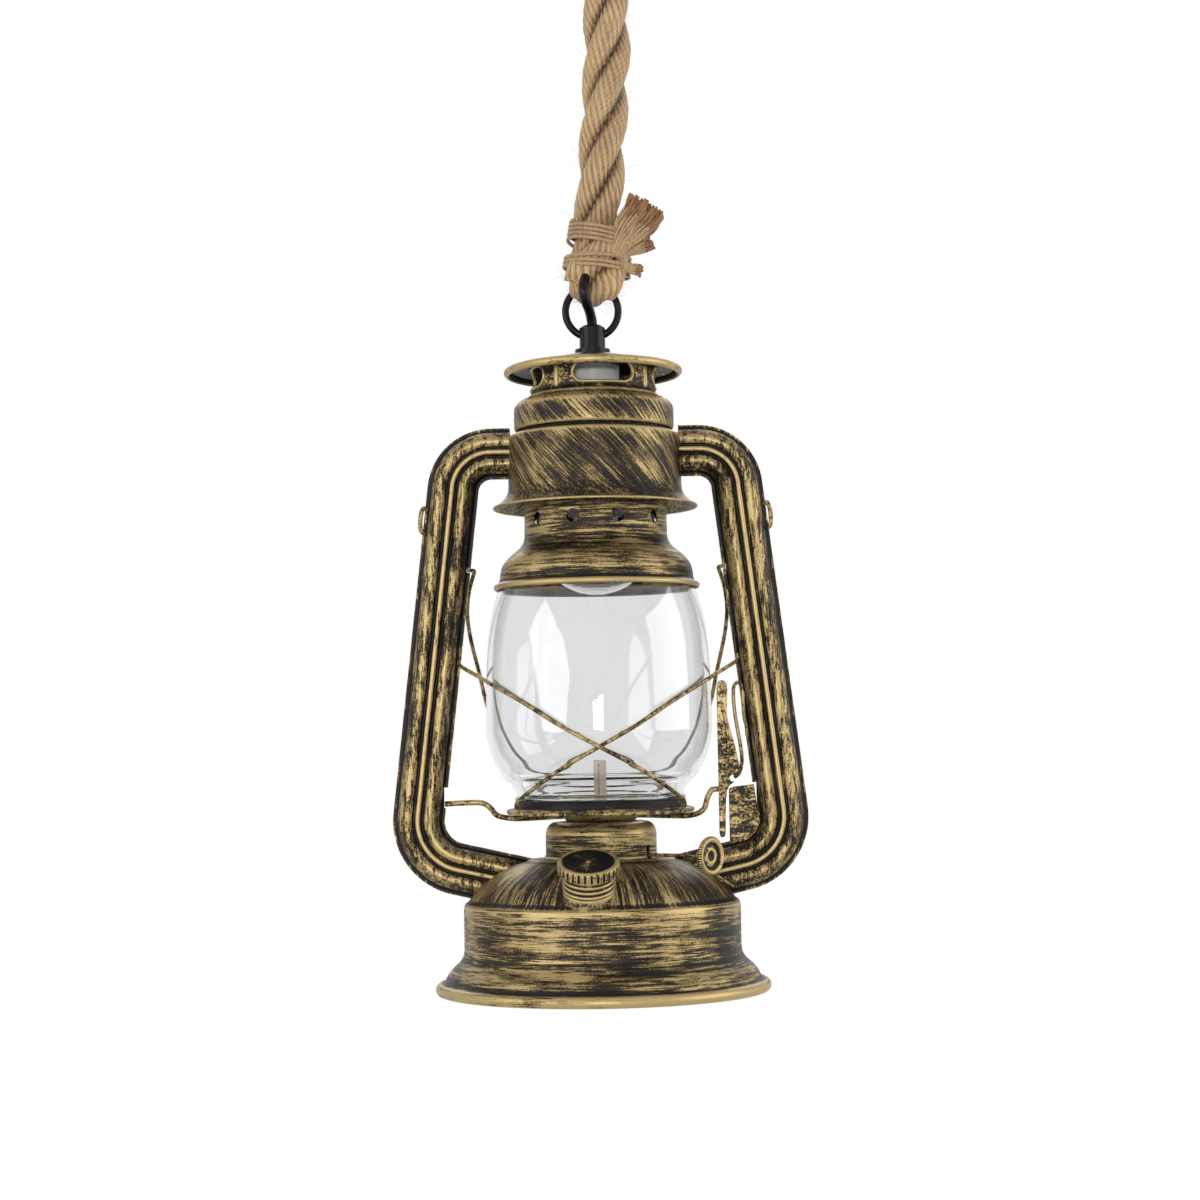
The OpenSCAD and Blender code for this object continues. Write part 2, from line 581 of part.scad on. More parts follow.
// Glass globe, from its lower lip up to the step in the bell
globe_top = globe_z + globe_h;
globe_profile = [[41.6, globe_z], [41.6, globe_z + 1.2], [40.3, globe_z + 2.2], [40.6, globe_z + 4],
    [43.6, globe_z + 7.8], [46.8, globe_z + 10.6], [globe_r - 5.4, globe_z + 15.4],
    [globe_r - 3, globe_z + 20], [globe_r - 1.4, globe_z + 25], [globe_r - 0.2, globe_z + 31],
    [globe_r, globe_z + 36], [globe_r - 0.2, globe_top - 50.2], [globe_r - 1.1, globe_top - 30.2],
    [globe_r - 2.4, globe_top - 19.2], [globe_r - 4.4, globe_top - 10.2], [globe_r - 7.6, globe_top]];
module glass_globe() color("white", 0.35) turned_sheet(globe_profile, globe_t);

// Globe plate: rolled rim, a dished trough and the seat under the glass
seat_z = globe_z - seat_gap;
plate_roll = 1.4;
module globe_plate() color(brass) turned_sheet(concat([[23, seat_z - 6], [28, seat_z - 6.4],
    [35, seat_z - 6.2], [38.2, seat_z - 4.2], [39, seat_z], [41.6, seat_z], [42.2, seat_z - 3.6],
    [43, seat_z - 6.2]],
    arc([plate_r - plate_roll, seat_z - 5.4], plate_roll - sheet_t, -80, 130, 6)), -sheet_t);

// Burner collar with the slot for the wick shaft
collar_foot = dome_top;
module burner_collar() color(brass) difference() {
    turned_sheet([[collar_r, collar_foot], [collar_r, collar_top - 5.5], [collar_r - 0.8, collar_top - 2.6],
        [collar_r - 2.6, collar_top - 0.7], [collar_r - 5, collar_top], [13, collar_top]], sheet_t);
    translate(shaft_off * shaft_side + [0, 0, collar_foot + 5]) rotate([0, 0, shaft_turn - 90])
        translate([20, 0, 0]) rotate([90, 0, 90]) linear_extrude(12)
            polygon(concat([[-1.5, -6], [1.5, -6]], arc([0, 0], 1.5, 0, 180, 8)));
}

module in_wick_frame() rotate([0, 0, shaft_turn - 90]) children();

// Burner cap with its slot over the wick tube
module burner_cap() color(brass) difference() {
    turned_sheet([[burner_cap_r - 2.4, collar_top + seat_gap], [burner_cap_r - 1, collar_top + 1.4],
        [burner_cap_r, collar_top + 4],
        [burner_cap_r - 0.4, burner_cap_top - 2.6], [burner_cap_r - 3.4, burner_cap_top - 0.9], [10,
            burner_cap_top - 0.1],
        [0, burner_cap_top]], sheet_t);
    in_wick_frame() translate([-wick_w / 2 - 2, -wick_t / 2 - 1.6, burner_cap_top - 4])
        cube([wick_w + 4, wick_t + 3.2, 6]);
}

// Flat tube that guides the wick, with a window for the feed wheels
tube_wall = 0.5;
wick_tube_low = 46;
module wick_tube() color("goldenrod") in_wick_frame() difference() {
    union() {
        translate([-wick_w / 2 - run_gap - tube_wall, -wick_t / 2 - run_gap - tube_wall, wick_tube_low])
            cube([wick_w + 2 * (run_gap + tube_wall), wick_t + 2 * (run_gap + tube_wall),
                burner_cap_top - 1 - wick_tube_low]);
        translate([0, 0, collar_top - sheet_t - 1.3]) cylinder(r = 14.6, h = 1.2);
    }
    translate([-wick_w / 2 - run_gap, -wick_t / 2 - run_gap, wick_tube_low - 1])
        cube([wick_w + 2 * run_gap, wick_t + 2 * run_gap, burner_cap_top + 2 - wick_tube_low]);
    translate([-wick_w / 2 + 0.4, 0, shaft_z - feed_r - 0.6]) cube([wick_w - 0.8, 4, 2 * feed_r + 1.2]);
}

wick_low = 30;
module wick() color("ivory") in_wick_frame()
    translate([-wick_w / 2, -wick_t / 2, wick_low]) cube([wick_w, wick_t, wick_top - wick_low]);

// Shaft with two feed wheels, and the knob on its end
module in_shaft_frame() translate(shaft_off * shaft_side + [0, 0, shaft_z]) rotate([0, 0,
    shaft_turn - 90])
    rotate([0, 90, 0]) children();
module wick_shaft() color(brass) in_shaft_frame() {
    translate([0, 0, -10]) cylinder(d = shaft_d, h = knob_reach + 10 - knob_t / 2);
    for (s = [-1, 1]) translate([0, 0, s * wick_w / 4 - 0.5]) cylinder(r = feed_r - shaft_gap, h = 1);
}
module wick_knob() color(brass) in_shaft_frame() translate([0, 0, knob_reach]) rotate_extrude()
    polygon([[0, -knob_t / 2], [knob_d / 2 - 1.2, -knob_t / 2], [knob_d / 2 - 0.2, -knob_t / 2 + 0.5],
        [knob_d / 2, 0],
        [knob_d / 2 - 0.2, knob_t / 2 - 0.5], [knob_d / 2 - 1, knob_t / 2], [knob_d / 2 - 1.9,
            knob_t / 2 - 0.3],
        [knob_d / 2 - 2.6, -0.3], [5, -0.1], [3.2, 0.3], [2.2, -0.2], [0, -0.5]]);

// Wire stay from the right tube to the outer end of the wick shaft
stay_wire = 1.4;
stay_at = 58;
stay_eye_r = shaft_d / 2 + shaft_gap + stay_wire / 2;
module shaft_stay() color(brass) {
    in_shaft_frame() translate([0, 0, stay_at]) rotate_extrude() translate([stay_eye_r, 0])
        circle(d = stay_wire, $fn = 24);
    stay_from = shaft_off * shaft_side + [0, 0, shaft_z - stay_eye_r] + stay_at * shaft_dir;
    wire([stay_from, stay_from + [4, 5, -3], stay_from + [9, 13, -8.4], [63.2, -8.2, 50.3]],
        stay_wire / 2, 6);
}

// Font dome, with a flat ring under the collar
dome_r = 41;
dome_c = [font_r - 2.4 - dome_r * cos(32), font_top + 1.3 - dome_r * sin(32)];
dome_arc = arc(dome_c, dome_r, 32, 80, 8);
dome_profile = concat([[font_r - 0.7, font_top + 0.2 + seat_gap]], dome_arc, [[35, dome_top], [collar_r - 2, dome_top]]);
module font_dome() color(brass) difference() {
    turned_sheet(dome_profile, sheet_t);
    translate(cap_base) rotate([cap_lean, 0, 0]) translate([0, 0, -14]) cylinder(r = neck_d / 2 - 0.4,
        h = 30);
}

// Font wall with its flared foot, and the bottom plate pressed into it
foot_bead = 2.9;
drum_low = font_top - 23;
font_profile = concat([[foot_r - 3.6, 0.4]],
    arc([foot_r - foot_bead, foot_bead], foot_bead, -70, 95, 8),
    [[foot_r - 4.2, 5.9], [foot_r - 6.2, 10], [foot_r - 8.4, 12.6], [font_r + 2.7, 15.2],
        [font_r + 0.8, 17.6], [font_r, drum_low],
    [font_r, font_top - 1.4], [font_r - 0.6, font_top - 0.2]]);
module font_drum() color(brass) turned_sheet(font_profile, sheet_t);
module bottom_plate() color(brass) translate([0, 0, 1.3]) cylinder(r = foot_r - 2, h = 1);

// Filler neck with rolled threads
neck_top = cap_reach - cap_h + cap_depth - 1.2;
module in_cap_frame() translate(cap_base) rotate([cap_lean, 0, 0]) children();
module filler_neck() color(brass) difference() {
    in_cap_frame() rotate_extrude() polygon(concat(
        [[neck_d / 2 - 1.2, neck_top], [neck_d / 2 - 1.2, -12], [neck_d / 2, -12], [neck_d / 2, 0]],
        [for (i = [0:2]) each [[neck_d / 2 - 0.7, i * cap_pitch + 0.3], [neck_d / 2 + 0.2,
            i * cap_pitch + 1],
            [neck_d / 2 + 0.2, i * cap_pitch + 1.8], [neck_d / 2 - 0.7, i * cap_pitch + cap_pitch]]],
        [[neck_d / 2 - 0.5, neck_top]]));
    rotate_extrude() polygon(concat([[0, 0], [font_r, 0]], [[font_r - 0.6, font_top]], dome_arc, [[35,
        dome_top], [0, dome_top]]));
}
module filler_gasket() color("saddlebrown") in_cap_frame()
    translate([0, 0, neck_top + seat_gap]) difference() {
        cylinder(r = neck_d / 2 - 0.2, h = 1);
        translate([0, 0, -1]) cylinder(r = neck_d / 2 - 3, h = 3);
    }

// Filler cap: a ring with flutes, round a top disc that presses on the gasket
cap_bore_r = neck_d / 2 + 0.6;
cap_low = cap_reach - cap_h;
cap_roof = cap_low + cap_depth;
module filler_cap() color(brass) in_cap_frame() difference() {
    rotate_extrude() translate([0, cap_low]) polygon([[cap_bore_r, 0], [cap_d / 2, 0],
        [cap_d / 2, cap_h - 1], [cap_d / 2 - 0.8, cap_h - 0.2], [cap_d / 2 - 1.4, cap_h],
        [cap_bore_r, cap_h - 0.2]]);
    for (i = [0:cap_flutes - 1]) rotate([0, 0, 360 / cap_flutes * i])
        translate([cap_d / 2 + 0.5, 0, cap_low - 1]) cylinder(r = 1.05, h = cap_h - 0.4);
}
module filler_cap_disc() color(brass) in_cap_frame()
    translate([0, 0, cap_roof]) cylinder(r = cap_bore_r - seat_gap, h = cap_reach - 0.4 - cap_roof);

// One half of a side tube: lobes, a rib and two seam flanges
half_w = tube_w / 2;
lobe = tube_d - 1.2;
section_out = [[-half_w, tube_t], [-half_w + 2, tube_t], [-half_w + 2.8, tube_t + 3.4], [-8.4,
    lobe - 1.7], [-6.6, lobe - 0.3],
    [-5.2, lobe], [-3.6, lobe - 0.5], [-2.2, lobe - 1.3], [-1.4, lobe - 0.9], [-1, tube_d - 0.3],
        [-0.4, tube_d]];
section = concat(section_out, [for (q = flip(section_out)) [-q[0], q[1]]]);
section_loop = concat(flip(section), inset_all(section, -tube_t));

// Places along a tube, in the plane y = 0, with the direction that points out of the tube's loop
function on_bend(c, r, a) = [c + r * [cos(a), sin(a)], [cos(a), sin(a)]];
function tube_ring(q) = [for (u = section_loop) [q[0][0] + u[0] * q[1][0], -u[1], q[0][1] + u[0] * q[1][1]]];
drum_inside = drum_r - 2;
bend_steps = 8;
tube_places = concat(
    [[[drum_inside, tube_top_z], [0, 1]]],
    [for (i = [0:bend_steps]) on_bend(upper_c, upper_bend_r, 90 + (tube_lean - 90) * i / bend_steps)],
    [for (i = [0:bend_steps])
        on_bend(lower_c, lower_bend_r, tube_lean - (tube_lean + 90 - lower_slope) * i / bend_steps)],
    [[lower_end - 42 * [cos(lower_slope), sin(lower_slope)], [sin(lower_slope), -cos(lower_slope)]]]);
module tube_half() difference() {
    hollow_skin([for (q = tube_places) tube_ring(q)]);
    cylinder(r = drum_r + seat_gap, h = ceiling_z);
    rotate_extrude() polygon(concat([[0, 0], [font_r + seat_gap, 0], [font_r + seat_gap, font_top]],
        [for (q = dome_arc) q + [seat_gap, seat_gap]], [[35, dome_top + seat_gap], [0,
            dome_top + seat_gap]]));
    translate([tube_x(carrier_z) - half_w - 8, -tube_d, carrier_z - 2])
        cube([9.8, 2 * tube_d, lift_travel + 4]);
    translate([tube_x(bail_z) - half_w - 1, 0, bail_z]) rotate([0, 90, 0]) cylinder(r = hook_hole_r,
        h = 2.8);
}
guard_wire = 2;
hook_hole_r = guard_wire / 2 + run_gap + 0.05;
guard_end_z = 159;
bail_z = 206;
carrier_z = 92;

module right_tube_front() color(brass) tube_half();
module right_tube_back() color(brass) mirror([0, 1, 0]) tube_half();
module left_tube_front() color(brass) mirror([1, 0, 0]) tube_half();
module left_tube_back() color(brass) mirror([1, 0, 0]) mirror([0, 1, 0]) tube_half();

// Wire ears on the outer edges of the tubes, where a carrying bail would hang
ear_top = 236;
ear_l = 11;
ear_wire = 2.2;
ear_seat = tube_t + seat_gap + ear_wire / 2;
module bail_ears() color(brass) for (s = [0, 1]) mirror([s, 0, 0]) {
    x = tube_x(ear_top) + half_w;
    low_x = tube_x(ear_top - ear_l) + half_w;
    wire(smooth([[x - 0.8, -ear_seat, ear_top], [x + 0.6, -3.4, ear_top + 0.6],
        [x + 1.6, -4.4, ear_top - 1.6], [x + 2.2, -4.4, ear_top - ear_l / 2],
        [x + 2.2, -4.2, ear_top - ear_l + 2], [low_x + 0.4, -3.2, ear_top - ear_l],
        [low_x - 0.8, -ear_seat, ear_top - ear_l - 0.6]], 2), ear_wire / 2, 8);
}

// Guard wires that cross in front of and behind the globe, with their ends on the tubes' inner flanges
guard_ring = plate_r + guard_wire / 2 + 2 * run_gap;
guard_low = seat_z - 6;
guard_down = [[-58, -18, 153.5], [-50, -29, 148.5], [-35, -45.6, 139.5], [-18, -55.4, 128.5],
    [0, -59.2, 118.5], [18, -55.4, 108.5], [31, -45, 99.5], [38.5, -33.5, 93.5], [39.6, -29.2, 89.2]];
guard_up = [[-39.6, -29.2, 89.2], [-38.5, -33.5, 93.5], [-31, -45, 99.5], [-18, -54, 108.5],
    [0, -56.9, 118.5], [18, -55.4, 128.5], [35, -45.6, 139.5], [50, -29, 148.5], [58, -18, 153.5]];
function on_flange(z) = [tube_x(z) - half_w + 0.9, -tube_t - seat_gap - guard_wire / 2, z];
guard_end = [on_flange(guard_end_z + 4), on_flange(guard_end_z + 1), [64, -9, guard_end_z - 2]];
guard_points = concat(mirrored(guard_end), guard_down,
    [for (a = [50:-20:-50]) [guard_ring * sin(a), -guard_ring * cos(a), guard_low]],
    guard_up, flip(guard_end));
module front_guard_wire() color(brass) wire(smooth(guard_points, 2), guard_wire / 2);
module rear_guard_wire() color(brass) mirror([0, 1, 0]) front_guard_wire();

// Rear bail: a wire bow behind the globe that swings back on the tubes
bail_hook = [tube_x(bail_z) - half_w, 0, bail_z];
bail_half = [bail_hook + [1.5, 0, 0], bail_hook + [-0.6, 0, 0], bail_hook + [-1.8, 1.4, -0.8],
    [61.6, 4.8, 201], [63.4, 9.6, 195], [64.4, 13.2, 186], [63.6, 17, 176], [61.6, 21.4, 165.5],
    [59.2, 25.4, 155], [56, 30, 140], [50, 38, 124], [41, 48, 110], [30, 54.5, 103.5],
    [15, 57.5, 101.3]];
module rear_bail() color(brass)
    wire(smooth(concat(mirrored(bail_half), [[0, 58.5, 101]], flip(bail_half)), 2), guard_wire / 2);

// Carrier wire under the globe plate, from the left tube to the lever
carrier_wire_d = 2.7;
carrier_ring = collar_r + 3.4;
carrier_low = seat_z - 6.4 - sheet_t - seat_gap - carrier_wire_d / 2;
carrier_points = concat([[-tube_x(carrier_z) + half_w - 0.6, 0, carrier_z], [-66, 0, 92.4], [-58, 0,
    92.2], [-54, 0, 90], [-51, 0, 86.4],
    [-47.5, 0, carrier_low + 0.8], [-42, 0, carrier_low], [-36, 2, carrier_low]],
    [for (a = [-70:20:70]) [carrier_ring * sin(a), carrier_ring * cos(a), carrier_low]],
    [[36, 2, carrier_low], [42, -2, carrier_low], [47, -3.4, carrier_low + 1], [50.4, -4.2, 88], [52,
        -4.5, 93], [54, -4.5, 96.4],
    [55.6, -4.5, 97], [60, -4.5, 97]]);
module carrier_wire() color(brass) wire(smooth(carrier_points, 2), carrier_wire_d / 2);

// Lift lever: a stamped plate with a folded side, which turns on the carrier wire's end
lever_bore_r = carrier_wire_d / 2 + shaft_gap;
lever_x = lever_pivot[0];
lever_y = lever_pivot[1];
lever_z = lever_pivot[2];
lever_plate = [[0, -22.8], [1.6, -23.6], [3, -22.4], [3.4, -6], [4.4, 1.2], [8, 3.4], [10.8, 9], [8.4,
    21], [5, 34], [4.6, 37],
    [5.4, 50], [4, 52.6], [1.4, 53], [0, 51]];
module lift_lever() color(brass) translate([lever_x, lever_y, lever_z]) difference() {
    union() {
        translate([0, -1, 0]) rotate([90, 0, 0]) linear_extrude(lever_t) polygon(lever_plate);
        translate([lever_t, 0, 0]) rotate([0, -90, 0]) linear_extrude(lever_t)
            polygon([[-22, -1.4], [-10, 1.8], [-3, 3.2], [3, 3.2], [10, 2.4], [48, 1.8], [51, -1.4]]);
    }
    translate([-2, 0, 0]) rotate([0, 90, 0]) cylinder(r = lever_bore_r, h = 6);
    translate([link_hole[0] - lever_x, 0, link_hole[2] - lever_z]) rotate([90, 0, 0]) cylinder(r = 1.6,
        h = 10, center = true);
}
link_hole = [64.4, -6, 102.2];

// Wire link fixed on the right tube's inner flange, behind the lever
link_wire = 1.8;
link_points = [[72, -1.6, 122.5], [71.9, -1.6, 127], [70.8, -3.4, 131], [70.2, -6, 138], [70, -5.8,
    144.6],
    [68.6, -5.4, 148.4], [66.4, -4.6, 147.6], [65.6, -4, 143], [66.4, -3.4, 132], [68.6, -3, 118],
    [69.2, -2.6, 110], [67.6, -2.8, 104.4], [65.2, -3.2, 102.6]];
module lever_link() color(brass) wire(smooth(link_points, 2), link_wire / 2);

// Bracket plate on the right tube beside the lever
module lever_bracket() color(brass) translate([0, -tube_t - 0.1, 0]) rotate([90, 0, 0])
    linear_extrude(0.8)
    polygon(concat([[62.6, 97], [64.4, 98], [74.9, 99], [76.4, 86.6]],
        arc(lower_c, lower_bend_r - half_w + 1.8, 0, -90, 8), [[62.6, 70.8]]));

// The model hangs from the ceiling at z = 0
module hung() translate([0, 0, -ceiling_z]) children();

hung() ceiling_canopy();
hung() ceiling_bracket();
hung() canopy_screws();
hung() upper_fitting();
hung() upper_nut();
hung() terminal_block();
hung() upper_ring();
hung() rope();
hung() rope_tails();
hung() upper_whipping();
hung() lower_whipping();
hung() power_cable();
hung() lower_ring();
hung() lower_fitting();
hung() lower_nut();
hung() lamp_cable();
hung() lampholder();
hung() lamp_contacts();
hung() bulb_cap();
hung() bulb_glass();
hung() bulb_filaments();
hung() top_plate();
hung() crown();
hung() canopy_drum();
hung() chimney_guide();
hung() left_tube_front();
hung() left_tube_back();
hung() right_tube_front();
hung() right_tube_back();
hung() bail_ears();
hung() font_dome();
hung() font_drum();
hung() bottom_plate();
hung() filler_neck();
hung() burner_collar();
hung() burner_cap();
hung() wick_tube();
hung() lever_bracket();
hung() lever_link();
hung() front_guard_wire();
hung() rear_guard_wire();
hung() shaft_stay();
hung() globe_plate();
hung() glass_globe();
hung() chimney();
hung() carrier_wire();
hung() chimney_spring();
hung() lift_lever();
hung() filler_gasket();
hung() filler_cap();
hung() filler_cap_disc();
hung() wick_shaft();
hung() wick_knob();
hung() wick();
hung() rear_bail();
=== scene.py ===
import math
import random
import bpy
import bmesh
from mathutils import Matrix, Vector, noise


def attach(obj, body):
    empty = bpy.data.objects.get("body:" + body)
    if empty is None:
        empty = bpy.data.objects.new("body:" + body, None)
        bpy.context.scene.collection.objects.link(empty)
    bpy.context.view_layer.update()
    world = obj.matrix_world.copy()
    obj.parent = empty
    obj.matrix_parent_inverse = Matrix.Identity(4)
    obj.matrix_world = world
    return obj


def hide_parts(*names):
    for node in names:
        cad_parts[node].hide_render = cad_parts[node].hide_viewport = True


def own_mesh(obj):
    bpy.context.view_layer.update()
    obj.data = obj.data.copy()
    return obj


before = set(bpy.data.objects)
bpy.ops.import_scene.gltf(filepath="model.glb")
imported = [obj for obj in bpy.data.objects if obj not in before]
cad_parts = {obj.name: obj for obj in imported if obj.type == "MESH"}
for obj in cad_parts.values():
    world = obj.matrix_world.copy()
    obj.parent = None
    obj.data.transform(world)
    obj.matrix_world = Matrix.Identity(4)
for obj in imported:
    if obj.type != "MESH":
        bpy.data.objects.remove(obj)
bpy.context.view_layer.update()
random.seed(7)
print("frame loaded")

# ---------- helpers ----------
# Sizes are in millimetres, with heights above the lantern's foot.

lanternFoot = 589.8  # how far the foot hangs below the ceiling


def spot(x, y, z):
    return Vector((x, y, z - lanternFoot)) / 1000


def meshPiece(name, points, faces, smooth=True):
    mesh = bpy.data.meshes.new(name)
    mesh.from_pydata([tuple(p) for p in points], [], faces)
    mesh.validate()
    piece = bpy.data.objects.new(name, mesh)
    bpy.context.scene.collection.objects.link(piece)
    bm = bmesh.new()
    bm.from_mesh(mesh)
    bmesh.ops.recalc_face_normals(bm, faces=bm.faces)
    bm.to_mesh(mesh)
    bm.free()
    for face in mesh.polygons:
        face.use_smooth = smooth
    return piece


def sharpen(piece, degrees=40):
    bm = bmesh.new()
    bm.from_mesh(piece.data)
    limit = math.radians(degrees)
    for edge in bm.edges:
        edge.smooth = len(edge.link_faces) != 2 or edge.calc_face_angle(0) < limit
    bm.to_mesh(piece.data)
    bm.free()
    return piece


def markWear(piece, reach=2.5):
    # Convex edges get a high value, so the brushed gold sits there. Hollows get a low one.
    mesh = piece.data
    total = [0.0] * len(mesh.vertices)
    count = [0] * len(mesh.vertices)
    for edge in mesh.edges:
        a, b = edge.vertices
        step = mesh.vertices[b].co - mesh.vertices[a].co
        squared = max(step.length_squared, 1e-10)
        total[a] -= 2 * mesh.vertices[a].normal.dot(step) / squared
        total[b] += 2 * mesh.vertices[b].normal.dot(step) / squared
        count[a] += 1
        count[b] += 1
    wear = mesh.attributes.get("wear") or mesh.attributes.new("wear", "FLOAT", "POINT")
    for i in range(len(total)):
        bend = total[i] / max(count[i], 1) / 1000
        wear.data[i].value = max(-0.36, min(0.64, bend * reach - 0.06))
    return piece


def between(a, b, c, d, t):
    return 0.5 * (2 * b + t * (c - a) + t * t * (2 * a - 5 * b + 4 * c - d) + t ** 3 * (3 * b - a - 3 * c + d))


def throughPoints(points, steps):
    # a smooth curve through given points
    last = len(points) - 1
    curve = []
    for i in range(last):
        near = [points[max(i - 1, 0)], points[i], points[i + 1], points[min(i + 2, last)]]
        near = [Vector(p) for p in near]
        curve += [between(*near, k / steps) for k in range(steps)]
    return curve + [Vector(points[last])]


def rounded(outline, reach=0.7, closed=False):
    # cuts the corners of an outline twice, by no more than the reach
    line = [Vector(p) for p in outline]
    for limit in (reach, reach * 0.35):
        cut = [] if closed else [line[0]]
        for a, b in zip(line, line[1:] + (line[:1] if closed else [])):
            share = min(0.26, limit / max((b - a).length, 1e-6))
            cut += [a.lerp(b, share), a.lerp(b, 1 - share)]
        line = cut if closed else cut + [line[-1]]
    return line


def arcPoints(cx, cy, r, a0, a1, n):
    turn = [math.radians(a0 + (a1 - a0) * i / n) for i in range(n + 1)]
    return [(cx + r * math.cos(a), cy + r * math.sin(a)) for a in turn]


def insetLine(line, t):
    moved = []
    for i, p in enumerate(line):
        d = (Vector(line[min(i + 1, len(line) - 1)]) - Vector(line[max(i - 1, 0)])).normalized()
        moved.append((max(0.0, p[0] - t * d[1]), p[1] + t * d[0]))
    return moved


def resample(line, step):
    # adds points on the long stretches, so that wear and brush marks have something to hold
    out = [Vector(line[0])]
    for a, b in zip(line, line[1:]):
        a, b = Vector(a), Vector(b)
        n = max(1, int((b - a).length / step))
        out += [a.lerp(b, (k + 1) / n) for k in range(n)]
    return out


def turned(name, outline, t=0.0, around=128, reach=0.7, smooth=0, place=None, flute=None, step=3.0):
    # a turned piece: with a thickness it is a sheet, without one it is solid
    line = throughPoints(outline, smooth) if smooth else rounded(outline, reach)
    line = resample(line, step)
    if t:
        line = [tuple(p) for p in line] + list(reversed(insetLine([tuple(p) for p in line], t)))
    loop = t != 0
    points, faces = [], []
    place = place or (lambda x, y, z: spot(x, y, z))
    n = len(line)
    for k in range(around):
        a = 2 * math.pi * k / around
        for i, (r, z) in enumerate(line):
            if flute:
                r = flute(r, z, a)
            points.append(place(r * math.cos(a), r * math.sin(a), z))
    for k in range(around):
        m = (k + 1) % around
        for i in range(n if loop else n - 1):
            j = (i + 1) % n
            faces.append((k * n + i, m * n + i, m * n + j, k * n + j))
    piece = meshPiece(name, points, faces)
    bm = bmesh.new()
    bm.from_mesh(piece.data)
    bmesh.ops.remove_doubles(bm, verts=bm.verts, dist=1e-6)
    bmesh.ops.dissolve_degenerate(bm, edges=bm.edges, dist=1e-7)
    bmesh.ops.holes_fill(bm, edges=[e for e in bm.edges if e.is_boundary], sides=0)
    bmesh.ops.recalc_face_normals(bm, faces=bm.faces)
    bm.to_mesh(piece.data)
    bm.free()
    return sharpen(markWear(piece))


def frames(path, up):
    # frames that ride along a path without twisting
    last = len(path) - 1
    out = []
    for i in range(last + 1):
        t = (path[min(i + 1, last)] - path[max(i - 1, 0)]).normalized()
        up = (up - up.dot(t) * t).normalized()
        out.append((t, up, t.cross(up)))
    return out


def swept(name, path, radius, sides=14, up=(0, 0.01, 1)):
    # a round wire along a path in millimetres; radius is a number or a function of the share of the way
    path = [Vector(p) for p in path]
    rings, total = [], len(path) - 1
    for i, (t, n, s) in enumerate(frames(path, Vector(up))):
        r = radius(i / total) if callable(radius) else radius
        rings.append([path[i] + r * (math.cos(2 * math.pi * k / sides) * n + math.sin(2 * math.pi * k / sides) * s)
                      for k in range(sides)])
    points = [spot(*p) for ring in rings for p in ring]
    faces = [(i * sides + k, i * sides + (k + 1) % sides, (i + 1) * sides + (k + 1) % sides, (i + 1) * sides + k)
             for i in range(total) for k in range(sides)]
    faces += [tuple(range(sides)), tuple(total * sides + k for k in range(sides))]
    return sharpen(meshPiece(name, points, faces), 50)


def joined(name, pieces):
    for piece in bpy.context.selected_objects:
        piece.select_set(False)
    for piece in pieces:
        piece.select_set(True)
    bpy.context.view_layer.objects.active = pieces[0]
    bpy.ops.object.join()
    pieces[0].name = name
    return pieces[0]


def mirrored(piece, name, axis):
    # a copy mirrored across the lantern's middle plane
    twin = bpy.data.objects.new(name, piece.data.copy())
    bpy.context.scene.collection.objects.link(twin)
    flip = [1, 1, 1]
    flip[axis] = -1
    twin.data.transform(Matrix.Diagonal((*flip, 1)))
    twin.data.flip_normals()
    return twin


def dress(piece, body, slot, material, *nodes):
    piece.data.materials.clear()
    piece.data.materials.append(material)
    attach(piece, body)
    if nodes:
        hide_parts(*nodes)
    return piece


def coat(material, *nodes):
    # a CAD node that keeps its own shape gets a real finish
    for name in nodes:
        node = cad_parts[name]
        node.data.materials.clear()
        node.data.materials.append(material)


# ---------- camera, floor and light ----------

cameraSetup = {
    "distance": 1.14,  # metres in front of the lantern's axis
    "side": 0.0015,
    "height": -0.4728,
    "lens": 69.9,
    "pitch": 3.68,  # degrees up
    "roll": -1.02,
}

camera = bpy.data.objects.new("camera", bpy.data.cameras.new("camera"))
bpy.context.scene.collection.objects.link(camera)
camera.data.lens = cameraSetup["lens"]
camera.data.sensor_width = 36
camera.data.clip_start = 0.05
camera.location = (cameraSetup["side"], -cameraSetup["distance"], cameraSetup["height"])
tilt = Matrix.Rotation(math.radians(90 + cameraSetup["pitch"]), 4, "X")
lean = Matrix.Rotation(math.radians(cameraSetup["roll"]), 4, "Z")
camera.rotation_euler = (tilt @ lean).to_euler()
bpy.context.scene.camera = camera
bpy.context.scene.view_settings.view_transform = "Standard"


def plainWhite(nodes, links, shader, output, level):
    # what the camera, gloss and glass see is plain white
    rays = nodes.new("ShaderNodeLightPath")
    white = nodes.new("ShaderNodeEmission" if output.type == "OUTPUT_MATERIAL" else "ShaderNodeBackground")
    white.inputs["Color"].default_value = (1, 1, 1, 1)
    white.inputs["Strength"].default_value = level
    seen = nodes.new("ShaderNodeMath")
    seen.operation = "MAXIMUM"
    links.new(rays.outputs["Is Camera Ray"], seen.inputs[0])
    both = nodes.new("ShaderNodeMath")
    both.operation = "MAXIMUM"
    links.new(rays.outputs["Is Glossy Ray"], both.inputs[0])
    links.new(rays.outputs["Is Transmission Ray"], both.inputs[1])
    links.new(both.outputs[0], seen.inputs[1])
    mix = nodes.new("ShaderNodeMixShader")
    links.new(seen.outputs[0], mix.inputs[0])
    links.new(shader.outputs[0], mix.inputs[1])
    links.new(white.outputs[0], mix.inputs[2])
    links.new(mix.outputs[0], output.inputs[0])


